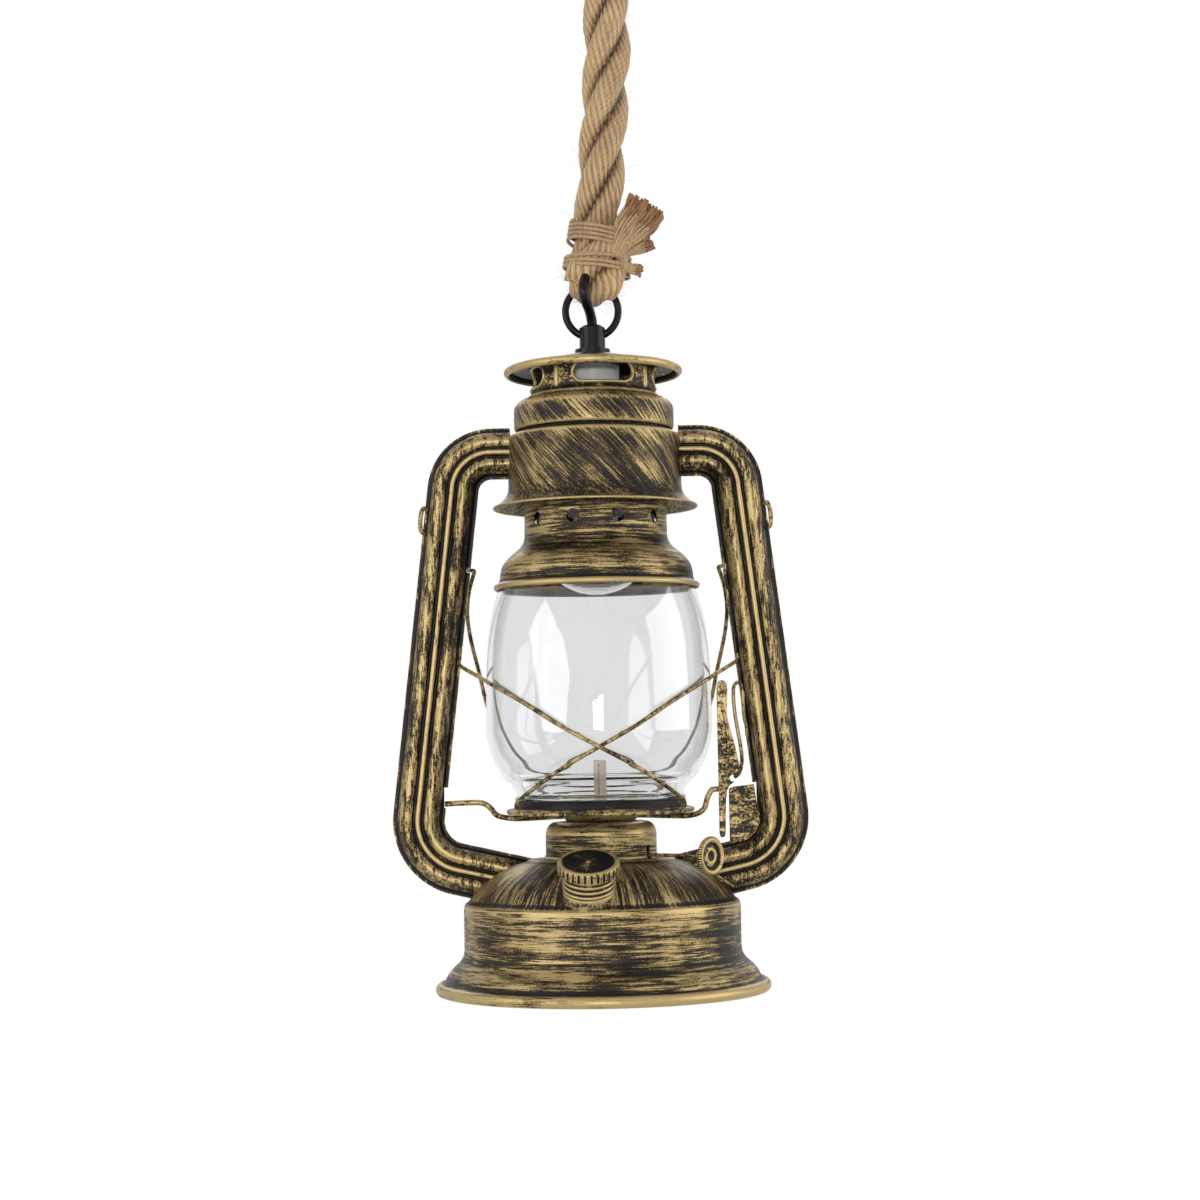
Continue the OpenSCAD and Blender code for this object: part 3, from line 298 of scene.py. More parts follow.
world = bpy.data.worlds.new("studio")
bpy.context.scene.world = world
world.use_nodes = True
sky = world.node_tree.nodes["Background"]
sky.inputs["Color"].default_value = (0.93, 0.95, 1, 1)
sky.inputs["Strength"].default_value = 0.5
plainWhite(world.node_tree.nodes, world.node_tree.links, sky, world.node_tree.nodes["World Output"], 1.0)

floor = meshPiece("floor", [(-5, -3, -0.95), (5, -3, -0.95), (5, 7, -0.95), (-5, 7, -0.95)], [(0, 1, 2, 3)])
floorPaint = bpy.data.materials.new("paleFloor")
floorPaint.use_nodes = True
floorNodes = floorPaint.node_tree
floorNodes.nodes["Principled BSDF"].inputs["Base Color"].default_value = (0.86, 0.86, 0.86, 1)
floorNodes.nodes["Principled BSDF"].inputs["Roughness"].default_value = 0.9
plainWhite(floorNodes.nodes, floorNodes.links, floorNodes.nodes["Principled BSDF"],
           floorNodes.nodes["Material Output"], 1.0)
floor.data.materials.append(floorPaint)

softBoxes = {
    "leftBox": {"at": (-1.1, -0.85, -0.2), "size": (0.6, 1.1), "power": 8},
    "rightBox": {"at": (1.3, -0.25, -0.2), "size": (0.8, 1.1), "power": 9},
    "frontBox": {"at": (-0.1, -2.2, -0.42), "size": (0.2, 0.13), "power": 16},
    "backBox": {"at": (0.0, 1.5, 0.6), "size": (1.6, 0.8), "power": 12},
}
for name, box in softBoxes.items():
    light = bpy.data.lights.new(name, "AREA")
    light.shape = "RECTANGLE"
    light.size, light.size_y = box["size"]
    light.energy = box["power"]
    lamp = bpy.data.objects.new(name, light)
    lamp.location = box["at"]
    aim = Vector((0, 0, -0.4)) - lamp.location
    lamp.rotation_euler = aim.to_track_quat("-Z", "Z").to_euler()
    bpy.context.scene.collection.objects.link(lamp)
print("camera and light ready")

# ---------- materials ----------


class Finish:
    # a small helper that builds a material's nodes
    def __init__(self, name):
        self.material = bpy.data.materials.new(name)
        self.material.use_nodes = True
        self.tree = self.material.node_tree
        self.shader = self.tree.nodes["Principled BSDF"]

    def node(self, kind, values=(), **settings):
        made = self.tree.nodes.new("ShaderNode" + kind)
        for key, value in settings.items():
            setattr(made, key, value)
        for socket, value in dict(values).items():
            if isinstance(value, bpy.types.NodeSocket):
                self.tree.links.new(value, made.inputs[socket])
            else:
                made.inputs[socket].default_value = value
        return made

    def math(self, operation, a, b=0.0):
        return self.node("Math", {0: a, 1: b}, operation=operation).outputs[0]

    def vector(self, operation, a, b):
        return self.node("VectorMath", {0: a, 1: b}, operation=operation).outputs[0]

    def noise(self, where, scale, detail=4.0, rough=0.55):
        made = self.node("TexNoise", {"Scale": scale, "Detail": detail, "Roughness": rough})
        self.tree.links.new(where, made.inputs["Vector"])
        return made.outputs["Fac"]

    def ramp(self, value, stops):
        made = self.node("ValToRGB", {0: value})
        bands = made.color_ramp
        while len(bands.elements) < len(stops):
            bands.elements.new(0.5)
        for element, (place, colour) in zip(bands.elements, stops):
            element.position = place
            element.color = (*colour, 1)
        return made.outputs["Color"]

    def bump(self, height, distance, strength=1.0, under=None):
        made = self.node("Bump", {"Height": height, "Distance": distance, "Strength": strength})
        if under:
            self.tree.links.new(under, made.inputs["Normal"])
        return made.outputs["Normal"]

    def set(self, **sockets):
        names = {"colour": "Base Color", "rough": "Roughness", "metal": "Metallic", "normal": "Normal",
                 "glassiness": "Transmission Weight", "ior": "IOR", "coat": "Coat Weight", "sheen": "Sheen Weight",
                 "glow": "Emission Color", "glowStrength": "Emission Strength", "gloss": "Specular IOR Level"}
        for key, value in sockets.items():
            socket = self.shader.inputs[names[key]]
            if isinstance(value, bpy.types.NodeSocket):
                self.tree.links.new(value, socket)
            else:
                socket.default_value = (*value, 1) if isinstance(value, tuple) else value
        return self.material

    def here(self):
        return self.node("TexCoord").outputs["Object"]

    def attribute(self, name):
        return self.node("Attribute", attribute_name=name).outputs["Fac"]


brushedGold = {
    "base": (0.0055, 0.005, 0.0045),
    "shadow": (0.032, 0.022, 0.010),
    "gold": (0.165, 0.114, 0.045),
    "bright": (0.385, 0.288, 0.13),
    "threshold": 0.525,
    "softness": 0.075,
}


def dryBrushed(name, twist=0.0, across=60.0, along=700.0, radial=False, gold=0.0, fleck=0.0):
    # Black paint dry-brushed with gold. twist turns the marks round the axis, in radians per metre.
    f = Finish(name)
    here = f.here()
    if radial:
        flat = f.vector("MULTIPLY", here, (1, 1, 0))
        flat = f.node("VectorMath", {0: flat}, operation="NORMALIZE").outputs[0]
        brush = f.vector("MULTIPLY", flat, (along / 14, along / 14, 0))
        brush = f.vector("ADD", brush, f.vector("MULTIPLY", here, (across, across, across)))
    else:
        height = f.node("SeparateXYZ", {0: here}).outputs["Z"]
        turn = f.math("MULTIPLY", height, twist)
        spun = f.node("VectorRotate", {"Vector": here, "Angle": turn}, rotation_type="Z_AXIS").outputs[0]
        brush = f.vector("MULTIPLY", spun, (across, across, along))
    streaks = f.noise(brush, 1.0, 9.0, 0.72)
    fine = f.noise(brush, 3.1, 6.0, 0.7)
    patches = f.noise(here, 42.0, 3.0, 0.5)
    specks = f.noise(here, 1100.0, 3.0, 0.6)
    amount = f.math("ADD", f.math("MULTIPLY", streaks, 0.55), f.math("MULTIPLY", fine, 0.45))
    amount = f.math("ADD", amount, f.math("MULTIPLY", f.math("SUBTRACT", patches, 0.5), 0.26))
    amount = f.math("ADD", amount, f.math("MULTIPLY", f.math("SUBTRACT", specks, 0.5), 0.16 + fleck))
    amount = f.math("ADD", amount, f.math("MULTIPLY", f.attribute("wear"), 0.25))
    low = brushedGold["threshold"] - gold
    mask = f.node("MapRange", {"Value": amount, "From Min": low - brushedGold["softness"],
                               "From Max": low + brushedGold["softness"]}, interpolation_type="SMOOTHSTEP")
    mask = mask.outputs["Result"]
    colour = f.ramp(mask, [(0.0, brushedGold["base"]), (0.35, brushedGold["shadow"]),
                           (0.72, brushedGold["gold"]), (1.0, brushedGold["bright"])])
    grain = f.math("MULTIPLY", f.math("ADD", mask, f.math("MULTIPLY", specks, 0.4)), 1.0)
    return f.set(colour=colour, metal=f.math("MULTIPLY", mask, 0.6), gloss=0.16,
                 rough=f.math("ADD", 0.34, f.math("MULTIPLY", fine, 0.16)),
                 normal=f.bump(grain, 0.00012, 0.6))


def satinPaint(name, colour, rough=0.32, grain=0.00004, gloss=0.5):
    f = Finish(name)
    here = f.here()
    pores = f.noise(here, 1400.0, 3.0)
    shade = f.ramp(f.noise(here, 60.0, 4.0), [(0.3, tuple(c * 0.8 for c in colour)), (0.7, tuple(c * 1.25 for c in colour))])
    return f.set(colour=shade, rough=f.math("ADD", rough - 0.06, f.math("MULTIPLY", pores, 0.12)), gloss=gloss,
                 normal=f.bump(pores, grain, 0.5))


def bareMetal(name, colour, rough=0.3):
    f = Finish(name)
    here = f.here()
    drawn = f.noise(f.vector("MULTIPLY", here, (1800, 1800, 120)), 1.0, 4.0)
    shade = f.ramp(f.noise(here, 90.0, 3.0), [(0.3, tuple(c * 0.88 for c in colour)), (0.7, colour)])
    return f.set(colour=shade, metal=0.95, rough=f.math("ADD", rough - 0.08, f.math("MULTIPLY", drawn, 0.16)),
                 normal=f.bump(drawn, 0.00003, 0.4))


def clearGlass(name, seeds=0.00002, clear=0.985):
    f = Finish(name)
    here = f.here()
    waves = f.noise(f.vector("MULTIPLY", here, (30, 30, 12)), 1.0, 2.0)
    # below 1, clear darkens the glass; for the globe this is painted shade, the grey that the studio light gives the
    # clear glass
    glassTintAndShade = f.ramp(f.noise(here, 20.0, 2.0), [(0.2, tuple(c * clear for c in (0.965, 0.975, 0.98))), (0.8, (clear,) * 3)])
    return f.set(colour=glassTintAndShade, rough=0.0, glassiness=1.0, ior=1.46, normal=f.bump(waves, seeds * 10, 0.25))


hempColours = {
    # groove is painted shade, the dark of the hollows between strands and yarns
    "groove": (0.055, 0.028, 0.011),
    "fibre": (0.33, 0.205, 0.098),
    "bright": (0.58, 0.41, 0.225),
}


def hempFibre(name, yarns=True, level=1.0, brown=0.0):
    f = Finish(name)
    here = f.here()
    hairs = f.noise(f.vector("MULTIPLY", here, (2600, 2600, 520)), 1.0, 6.0, 0.65)
    patches = f.noise(here, 55.0, 4.0)
    strips = f.noise(f.vector("MULTIPLY", here, (900, 900, 60)), 1.0, 5.0, 0.7)
    value = f.math("ADD", f.math("MULTIPLY", hairs, 0.62), f.math("MULTIPLY", patches, 0.3))
    value = f.math("ADD", value, f.math("MULTIPLY", f.math("SUBTRACT", strips, 0.45), 0.75))
    # this paints shade into the hollows between strands and yarns, and painted light onto the strand crowns
    if yarns:
        value = f.math("ADD", value, f.math("MULTIPLY", f.math("SUBTRACT", f.attribute("ridgeShade"), 0.72), 0.85))
    value = f.math("ADD", value, level - 1.0)
    fibre = tuple(c * (1 - brown) + d * brown for c, d in zip(hempColours["fibre"], (0.30, 0.13, 0.045)))
    bright = tuple(c * (1 - brown) + d * brown for c, d in zip(hempColours["bright"], (0.48, 0.24, 0.09)))
    colour = f.ramp(value, [(0.16, hempColours["groove"]), (0.46, fibre), (0.82, bright)])
    return f.set(colour=colour, rough=0.86, sheen=0.25, gloss=0.3, normal=f.bump(value, 0.0005, 0.7))


def wovenWick(name):
    f = Finish(name)
    here = f.here()
    weave = f.noise(f.vector("MULTIPLY", here, (2500, 2500, 1800)), 1.0, 2.0)
    colour = f.ramp(weave, [(0.3, (0.62, 0.53, 0.40)), (0.7, (0.86, 0.80, 0.68))])
    return f.set(colour=colour, rough=0.9, sheen=0.2, normal=f.bump(weave, 0.0003, 0.8))


def glowingStick(name):
    f = Finish(name)
    mottle = f.noise(f.here(), 600.0, 3.0)
    return f.set(colour=f.ramp(mottle, [(0.3, (0.75, 0.30, 0.03)), (0.7, (0.95, 0.50, 0.08))]), rough=0.5)


brass = {
    "dome": dryBrushed("brassDome", radial=True, along=300.0, across=34.0, gold=0.02),
    "font": dryBrushed("brassFont", twist=1.5, across=24.0, along=560.0, gold=0.035),
    "drum": dryBrushed("brassDrum", twist=24.0, across=560.0, along=36.0, gold=0.025),
    "bell": dryBrushed("brassBell", twist=1.0, across=24.0, along=520.0, gold=0.035),
    "plate": dryBrushed("brassPlate", twist=0.0, across=90.0, along=420.0, gold=-0.02, fleck=0.1),
    "tube": dryBrushed("brassTube", twist=0.0, across=420.0, along=60.0, gold=0.005, fleck=0.08),
    "wire": dryBrushed("brassWire", twist=0.0, across=260.0, along=260.0, gold=0.05, fleck=0.12),
    "small": dryBrushed("brassSmall", twist=0.0, across=160.0, along=300.0, gold=0.035, fleck=0.16),
    "cap": dryBrushed("brassCap", twist=0.0, across=120.0, along=300.0, gold=-0.045, fleck=0.1),
}
blackSteel = satinPaint("blackSteel", (0.006, 0.006, 0.0065), 0.27, gloss=0.14)
blackJacket = satinPaint("blackJacket", (0.005, 0.005, 0.0055), 0.22, gloss=0.14)
porcelain = satinPaint("porcelain", (0.74, 0.74, 0.72), 0.25)
cork = satinPaint("corkSeal", (0.22, 0.13, 0.07), 0.8, 0.0002)
zinc = bareMetal("zincSteel", (0.62, 0.63, 0.64), 0.34)
bareBrass = bareMetal("contactBrass", (0.72, 0.53, 0.25), 0.28)
# the globe's 0.86 is painted shade: it greys the clear glass to the tone it has in the studio light
globeGlass = clearGlass("globeGlass", clear=0.86)
bulbGlass = clearGlass("bulbGlass", 0.00001)
hemp = hempFibre("hempRope")
hempDark = hempFibre("hempCutEnds", yarns=False, level=0.92, brown=0.75)
hempLoose = hempFibre("hempLooseFibre", yarns=False, level=1.06)
twineHemp = hempFibre("hempTwine", yarns=False, level=1.0)
wickCloth = wovenWick("wickCloth")
filamentCoat = glowingStick("filamentCoat")
print("materials ready")

# ---------- rope ----------

ropeLow = [(10, -7.4, 374, 10, 4.8, 0), (8, -7.4, 366, 11.6, 4.8, 0), (4.5, -7.5, 357, 14.2, 4.8, 0),
           (2, -7.3, 351, 15.4, 4.8, 0)]
ropeMid = [(0, 7.2, 352, 11.5, 4.8, 0), (1, 7.2, 360, 12, 5.5, 0), (2, 6.8, 368, 12, 6, 0),
           (3, 5.8, 377, 12, 7, 0), (4.5, 2.5, 388, 12, 10.5, 0), (5.5, 0.5, 400, 12, 12, 0),
           (7, 0, 418, 12, 12, 15), (8.4, 0, 438, 12, 12, 35), (9.6, 0, 460, 12, 12, 55),
           (10, 0, 478, 12, 12, 75), (9.6, 0, 490, 12, 11.5, 90), (8, 1, 502, 12, 9, 90),
           (7.4, 0, 512, 12, 6.5, 90), (7.2, 0, 522, 11.5, 4.8, 90)]
ropeHigh = [(-7.1, 2, 523, 11.5, 4.4, 90), (-7.4, 5, 517, 11.5, 4.6, 90), (-7.4, 8, 508, 11, 4.8, 90)]

ropeShape = {
    "eyeRadius": 6.6,
    "lowWire": 346.2,  # height of the ring's wire that the lower eye goes round
    "highWire": 528.6,
    "pitch": 95.0,  # one turn of a strand
    "phase": (32, 40),  # degrees the strands are turned at the lower eye, and everywhere
    "phaseFrom": 40,
    "strandOut": 0.43,  # a strand's middle, as a share of the rope's half width
    "yarns": 24,
    "yarnDepth": 0.06,
    "yarnLean": 0.3,
    "around": 144,
    "steps": 10,
}


def atTop(p):
    # the same place on the upper eye, which is turned a quarter
    return Vector((p[1], p[0], ropeShape["lowWire"] + ropeShape["highWire"] - p[2], *p[3:]))


def eyePoints(wire, first, last, turn):
    points = []
    for i in range(9):
        a = math.radians(first + (last - first) * i / 8)
        side = ropeShape["eyeRadius"] * math.cos(a)
        rise = wire + ropeShape["eyeRadius"] * math.sin(a)
        half = 8 + 3 * abs(math.cos(a))
        if side < -4:
            half += (-side - 4) * 1.7  # the front bight is wide and covers the ring
        points.append((max(0, -side - 5), side, rise, half, 4.2, 0) if turn == 0 else (side, 0, rise, half, 4.2, 90))
    return points


ropeParts = [ropeLow + eyePoints(ropeShape["lowWire"], -180, 0, 0), ropeMid,
             eyePoints(ropeShape["highWire"], 0, 180, 90) + ropeHigh]
ropeRoute = throughPoints(ropeParts[0] + ropeParts[1] + ropeParts[2], ropeShape["steps"])
ropeSplit = [len(ropeParts[0]) * ropeShape["steps"],
             (len(ropeParts[0]) + len(ropeParts[1]) - 1) * ropeShape["steps"]]


def ropeSection(angle):
    # how far out the surface of three strands is, and which strand it is
    third = 2 * math.pi / 3
    strand = math.floor(angle / third + 0.5)
    local = angle - strand * third
    out = ropeShape["strandOut"]
    return out * math.cos(local) + math.sqrt((1 - out) ** 2 - (out * math.sin(local)) ** 2), strand % 3


def buildRope():
    route = ropeRoute
    shape = ropeShape
    deepest = ropeSection(math.pi / 3 - 1e-6)[0]
    rings, ridgeShades, run = [], [], 0.0
    for i, q in enumerate(route):
        here, before, after = [Vector(route[k][:3]) for k in (i, max(i - 1, 0), min(i + 1, len(route) - 1))]
        run += (here - before).length
        t = (after - before).normalized()
        turn = math.radians(q[5])
        w = Vector((math.cos(turn), math.sin(turn), 0))
        w = (w - w.dot(t) * t).normalized()
        s = t.cross(w)
        early = 1 - max(0, min(1, (run - shape["phaseFrom"]) / 20))
        lay = 2 * math.pi * run / shape["pitch"] - math.radians(shape["phase"][0] * early + shape["phase"][1])
        ring = []
        for k in range(shape["around"]):
            a = 2 * math.pi * k / shape["around"]
            out, strand = ropeSection(a + turn - lay)
            yarn = 0.5 + 0.5 * math.cos(shape["yarns"] * (a + turn + shape["yarnLean"] * lay) + 2.1 * strand)
            groove = (out - deepest) / (1 - deepest)
            rough = noise.noise(Vector((a * 3, run / 6, strand)))
            far = out - shape["yarnDepth"] * (1 - yarn) ** 2 + 0.02 * rough
            ring.append(here + far * (q[3] * math.cos(a) * w + q[4] * math.sin(a) * s))
            # painted shade: low in the hollows between strands and between yarns, high on the crowns
            ridgeShades.append(max(0, min(1, groove * 1.6)) ** 0.7 * 0.6 + 0.4 * yarn)
        rings.append(ring)
    return rings, ridgeShades


ropeRings, ropeRidgeShades = buildRope()


def ropePiece(name, first, last):
    n = ropeShape["around"]
    rings = ropeRings[first:last + 1]
    points = [spot(*p) for ring in rings for p in ring]
    faces = [(i * n + k, i * n + (k + 1) % n, (i + 1) * n + (k + 1) % n, (i + 1) * n + k)
             for i in range(len(rings) - 1) for k in range(n)]
    faces += [tuple(range(n)), tuple((len(rings) - 1) * n + k for k in range(n))]
    piece = meshPiece(name, points, faces)
    # the painted shade for the rope's hollows goes onto the mesh, for the hemp material
    ridgeShade = piece.data.attributes.new("ridgeShade", "FLOAT", "POINT")
    for i in range(len(points)):
        ridgeShade.data[i].value = ropeRidgeShades[first * n + i]
    return dress(piece, "rope", "hemp", hemp)


standing = ropePiece("ropeStandingPart", *ropeSplit)
lowerEye = ropePiece("ropeLowerEye", 0, ropeSplit[0])
upperEye = ropePiece("ropeUpperEye", ropeSplit[1], len(ropeRoute) - 1)

twineShape = {
    "centre": (2.6, 0.0),
    "half": (16.2, 13.9),
    "drift": (0.12, -0.06),  # how far the middle and the half width move for each millimetre up
    "tilt": (0.14, 0.24),  # slope towards the right of the lower and the upper band
    "low": 352.4,
    "turns": (2.6, 1, 4),
    "pitch": 2.1,
    "gap": 8.4,
    "radius": 1.0,
    "twist": 5.5,
}


def twineHeight(u):
    first, middle, _ = twineShape["turns"]
    pitch = twineShape["pitch"]
    if u < first:
        return u * pitch
    if u < first + middle:
        return first * pitch + (u - first) / middle * twineShape["gap"]
    return first * pitch + twineShape["gap"] + (u - first - middle) * pitch


def twinePath(steps=60):
    points = []
    for i in range(int(sum(twineShape["turns"]) * steps)):
        a = 2 * math.pi * i / steps
        rise = twineHeight(i / steps)
        x = (twineShape["half"][0] + rise * twineShape["drift"][1]) * math.cos(a)
        tilt = twineShape["tilt"][0 if rise < 9 else 1]
        points.append((twineShape["centre"][0] + rise * twineShape["drift"][0] + x,
                       twineShape["centre"][1] + twineShape["half"][1] * math.sin(a),
                       twineShape["low"] + rise - tilt * x))
    return points


def twistedWire(name, path, radius, twist, sides=12, lobes=2, depth=0.16, up=(0.01, 0, 1)):
    # a laid cord: its section has lobes that turn along it
    path = [Vector(p) for p in path]
    points, run = [], 0.0
    for i, (t, n, s) in enumerate(frames(path, Vector(up))):
        run += (path[i] - path[max(i - 1, 0)]).length
        for k in range(sides):
            a = 2 * math.pi * k / sides
            r = radius * (1 - depth * (0.5 - 0.5 * math.cos(lobes * (a - 2 * math.pi * run / twist))))
            points.append(spot(*(path[i] + r * (math.cos(a) * n + math.sin(a) * s))))
    last = len(path) - 1
    faces = [(i * sides + k, i * sides + (k + 1) % sides, (i + 1) * sides + (k + 1) % sides, (i + 1) * sides + k)
             for i in range(last) for k in range(sides)]
    faces += [tuple(range(sides)), tuple(last * sides + k for k in range(sides))]
    return meshPiece(name, points, faces)


lowerTwine = dress(twistedWire("lowerTwine", twinePath(), twineShape["radius"], twineShape["twist"]),
                   "rope", "hemp", twineHemp, "lower_whipping")
upperTwine = dress(twistedWire("upperTwine", [atTop(p) for p in twinePath()], twineShape["radius"],
                               twineShape["twist"]), "rope", "hemp", twineHemp, "upper_whipping")

# The frayed ends: a path for each strand, its half width on the way, and how many yarns it has.
tails = [
    {"path": [(11, -8.6, 359), (14.5, -9.2, 366), (19, -9.6, 372), (24.5, -9.5, 378), (28.5, -9, 384)],
     "wide": (4.0, 6.0, 8.4, 10.2, 10.6), "yarns": 230},
    {"path": [(14, -5.5, 360), (19.5, -5, 362.5), (23, -4, 364.5), (26.5, -3.5, 366.5), (29.5, -3, 368)],
     "wide": (1.8, 2.8, 4.2, 5.2, 5.4), "yarns": 70},
    {"path": [(15, -8, 355), (19, -9, 353), (21, -9.6, 352), (23, -10, 351.3), (24.6, -10.4, 350.8)],
     "wide": (1.4, 1.9, 2.6, 3.2, 3.4), "yarns": 34},
]
yarnShape = {"radius": 0.62, "sides": 5, "darkFrom": 0.72}


def yarnBundle(name, tail, darkEnds, place):
    # many thin yarns that fan out along a path; the last stretch is the cut, darker end
    spine = throughPoints(tail["path"], 5)
    wide = throughPoints([(w, 0, 0) for w in tail["wide"]], 5)
    spread = frames(spine, Vector((0, 1, 0.1)))
    points, faces = [], []
    sides = yarnShape["sides"]
    for yarn in range(tail["yarns"]):
        a = 2.399963 * yarn
        out = math.sqrt((yarn + 0.5) / tail["yarns"]) * 0.93
        wave = [random.uniform(-1, 1) for _ in range(4)]
        reach = 1 - random.random() ** 2 * 0.22
        count = len(spine)
        line = []
        for i in range(count):
            share = i / (count - 1)
            at = min(share * reach * (count - 1), count - 1.001)
            low, part = int(at), at - int(at)
            middle = spine[low].lerp(spine[low + 1], part)
            half = wide[low][0] * (1 - part) + wide[low + 1][0] * part
            t, n, s = spread[low]
            sway = share * 1.1
            line.append(middle + half * out * (math.cos(a) * 0.75 * n + math.sin(a) * s)
                        + sway * (wave[0] * math.sin(share * 5 + 6 * wave[1]) * n
                                  + wave[2] * math.sin(share * 6 + 6 * wave[3]) * s))
        cut = int(count * yarnShape["darkFrom"])
        line = line[cut - 1:] if darkEnds else line[:cut + 1]
        line = [Vector(place(p)) for p in line]
        base = len(points)
        for i, (t, n, s) in enumerate(frames(line, Vector((0.1, 1, 0.1)))):
            r = yarnShape["radius"] * (1.04 if darkEnds else 1.0) * (0.9 + 0.2 * abs(wave[3]))
            for k in range(sides):
                b = 2 * math.pi * k / sides
                points.append(spot(*(line[i] + r * (math.cos(b) * n + math.sin(b) * s))))
        last = len(line) - 1
        faces += [(base + i * sides + k, base + i * sides + (k + 1) % sides,
                   base + (i + 1) * sides + (k + 1) % sides, base + (i + 1) * sides + k)
                  for i in range(last) for k in range(sides)]
        faces += [tuple(base + k for k in range(sides)), tuple(base + last * sides + k for k in range(sides))]
    return meshPiece(name, points, faces)


def upperTailPlace(p):
    # the upper tails stay short, so that they end above the camera's view
    return atTop((p[0], p[1], 361 + (p[2] - 361) * 0.4))


for where, place in (("lower", lambda p: p), ("upper", upperTailPlace)):
    for i, tail in enumerate(tails):
        for cutEnd, material in ((False, hempLoose), (True, hempDark)):
            name = where + "Tail" + str(i + 1) + ("Cut" if cutEnd else "")
            random.seed(20 + i)
            piece = yarnBundle(name, tail, cutEnd, place)
            dress(piece, "rope", "hemp", material)

cableRoute = [(-2.2, -6, 352), (-3, -9.6, 348), (-3.7, -13.2, 344), (-3.6, -14.2, 340.4),
              (-2.8, -12.2, 336), (-1.4, -6.6, 333), (-0.5, -2, 330.4), (0, -0.3, 327), (0, 0, 324),
              (0, 0, 322.4)]
for where, place in (("lower", lambda p: Vector(p)), ("upper", atTop)):
    line = [place(p) for p in throughPoints(cableRoute, 5)]
    piece = swept(where + "PowerCable", line, 2.5, 20, (1, 0, 0))
    dress(piece, "rope", "cable_jacket", blackJacket, "power_cable")

hairShape = {"count": 700, "length": (2.5, 9), "radius": 0.055}


def looseHairs():
    random.seed(11)
    points, faces = [], []
    for _ in range(hairShape["count"]):
        i = random.randrange(4, len(ropeRings) - 5)
        k = random.randrange(ropeShape["around"])
        root = ropeRings[i][k]
        out = (root - Vector(ropeRoute[i][:3])).normalized()
        along = Vector((random.uniform(-1, 1), random.uniform(-1, 1), random.uniform(-1.2, 1.2)))
        length = random.uniform(*hairShape["length"])
        tip = root + (out * random.uniform(0.25, 0.7) + along * 0.5).normalized() * length
        bow = root.lerp(tip, 0.5) + out * random.uniform(-0.5, 1.2) + along * random.uniform(-1.2, 1.2)
        line = [root - out * 0.4] + [root * (1 - u) ** 2 + bow * 2 * u * (1 - u) + tip * u * u
                                     for u in (0.25, 0.5, 0.75, 1)]
        base = len(points)
        for j, (t, n, s) in enumerate(frames(line, Vector((0.3, 0.5, 0.8)))):
            r = hairShape["radius"] * (1 - 0.15 * j)
            points += [spot(*(line[j] + r * (math.cos(b) * n + math.sin(b) * s))) for b in (0, 2.09, 4.19)]
        for j in range(4):
            faces += [(base + 3 * j + k, base + 3 * j + (k + 1) % 3, base + 3 * j + 3 + (k + 1) % 3,
                       base + 3 * j + 3 + k) for k in range(3)]
        faces += [(base, base + 1, base + 2), (base + 12, base + 13, base + 14)]
    return meshPiece("ropeHairs", points, faces)


hairs = dress(looseHairs(), "rope", "hemp", hempLoose)
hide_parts("rope", "rope_tails")

ropePath = [spot(*p[:3]) for p in reversed(throughPoints(ropeMid, 4))]
print("rope ready")

# ---------- turned lantern pieces ----------

sheet = 0.8


def cutOut(piece, cutter):
    # cuts the cutter's shape out of a piece and throws the cutter away
    change = piece.modifiers.new("cut", "BOOLEAN")
    change.object = cutter
    change.solver = "EXACT"
    bpy.context.view_layer.objects.active = piece
    bpy.ops.object.modifier_apply(modifier="cut")
    bpy.data.objects.remove(cutter)
    for face in piece.data.polygons:
        face.use_smooth = True
    return sharpen(piece)


def prism(name, outline, low, high, place):
    # a solid with any outline, from one height to another along its own axis
    n = len(outline)
    points = [place(x, y, z) for z in (low, high) for x, y in outline]
    faces = [(k, (k + 1) % n, n + (k + 1) % n, n + k) for k in range(n)]
    faces += [tuple(range(n)), tuple(range(n, 2 * n))]
    return meshPiece(name, points, faces, smooth=False)


def aroundAxis(angle):
    # a place function for things that point outwards from the lantern's axis
    a = math.radians(angle)
    return lambda u, v, out: spot(out * math.cos(a) - u * math.sin(a), out * math.sin(a) + u * math.cos(a), v)


foot = {"radius": 81.3, "wall": 67.2, "top": 43.4, "bead": 2.9}
footLine = ([(foot["radius"] - 3.6, 0.4)]
            + arcPoints(foot["radius"] - foot["bead"], foot["bead"], foot["bead"], -70, 95, 8)
            + [(foot["radius"] - 4.2, 5.9), (foot["radius"] - 6.2, 10), (foot["radius"] - 8.4, 12.6),
               (foot["wall"] + 2.7, 15.2), (foot["wall"] + 0.8, 17.6), (foot["wall"], 20.4),
               (foot["wall"], foot["top"] - 1.4), (foot["wall"] - 0.6, foot["top"] - 0.2)])
dress(turned("fontDrum", footLine, sheet, around=180, reach=1.2), "lantern", "aged_brass", brass["font"],
      "font_drum")

dome = {"top": 64.6, "radius": 41}
domeMiddle = (foot["wall"] - 2.4 - dome["radius"] * math.cos(math.radians(32)),
              foot["top"] + 1.3 - dome["radius"] * math.sin(math.radians(32)))
domeLine = ([(foot["wall"] - 0.7, foot["top"] + 0.3)] + arcPoints(*domeMiddle, dome["radius"], 32, 80, 14)
            + [(35, dome["top"]), (25, dome["top"])])
dress(turned("fontDome", domeLine, sheet, around=160, reach=0.6), "lantern", "aged_brass", brass["dome"],
      "font_dome")

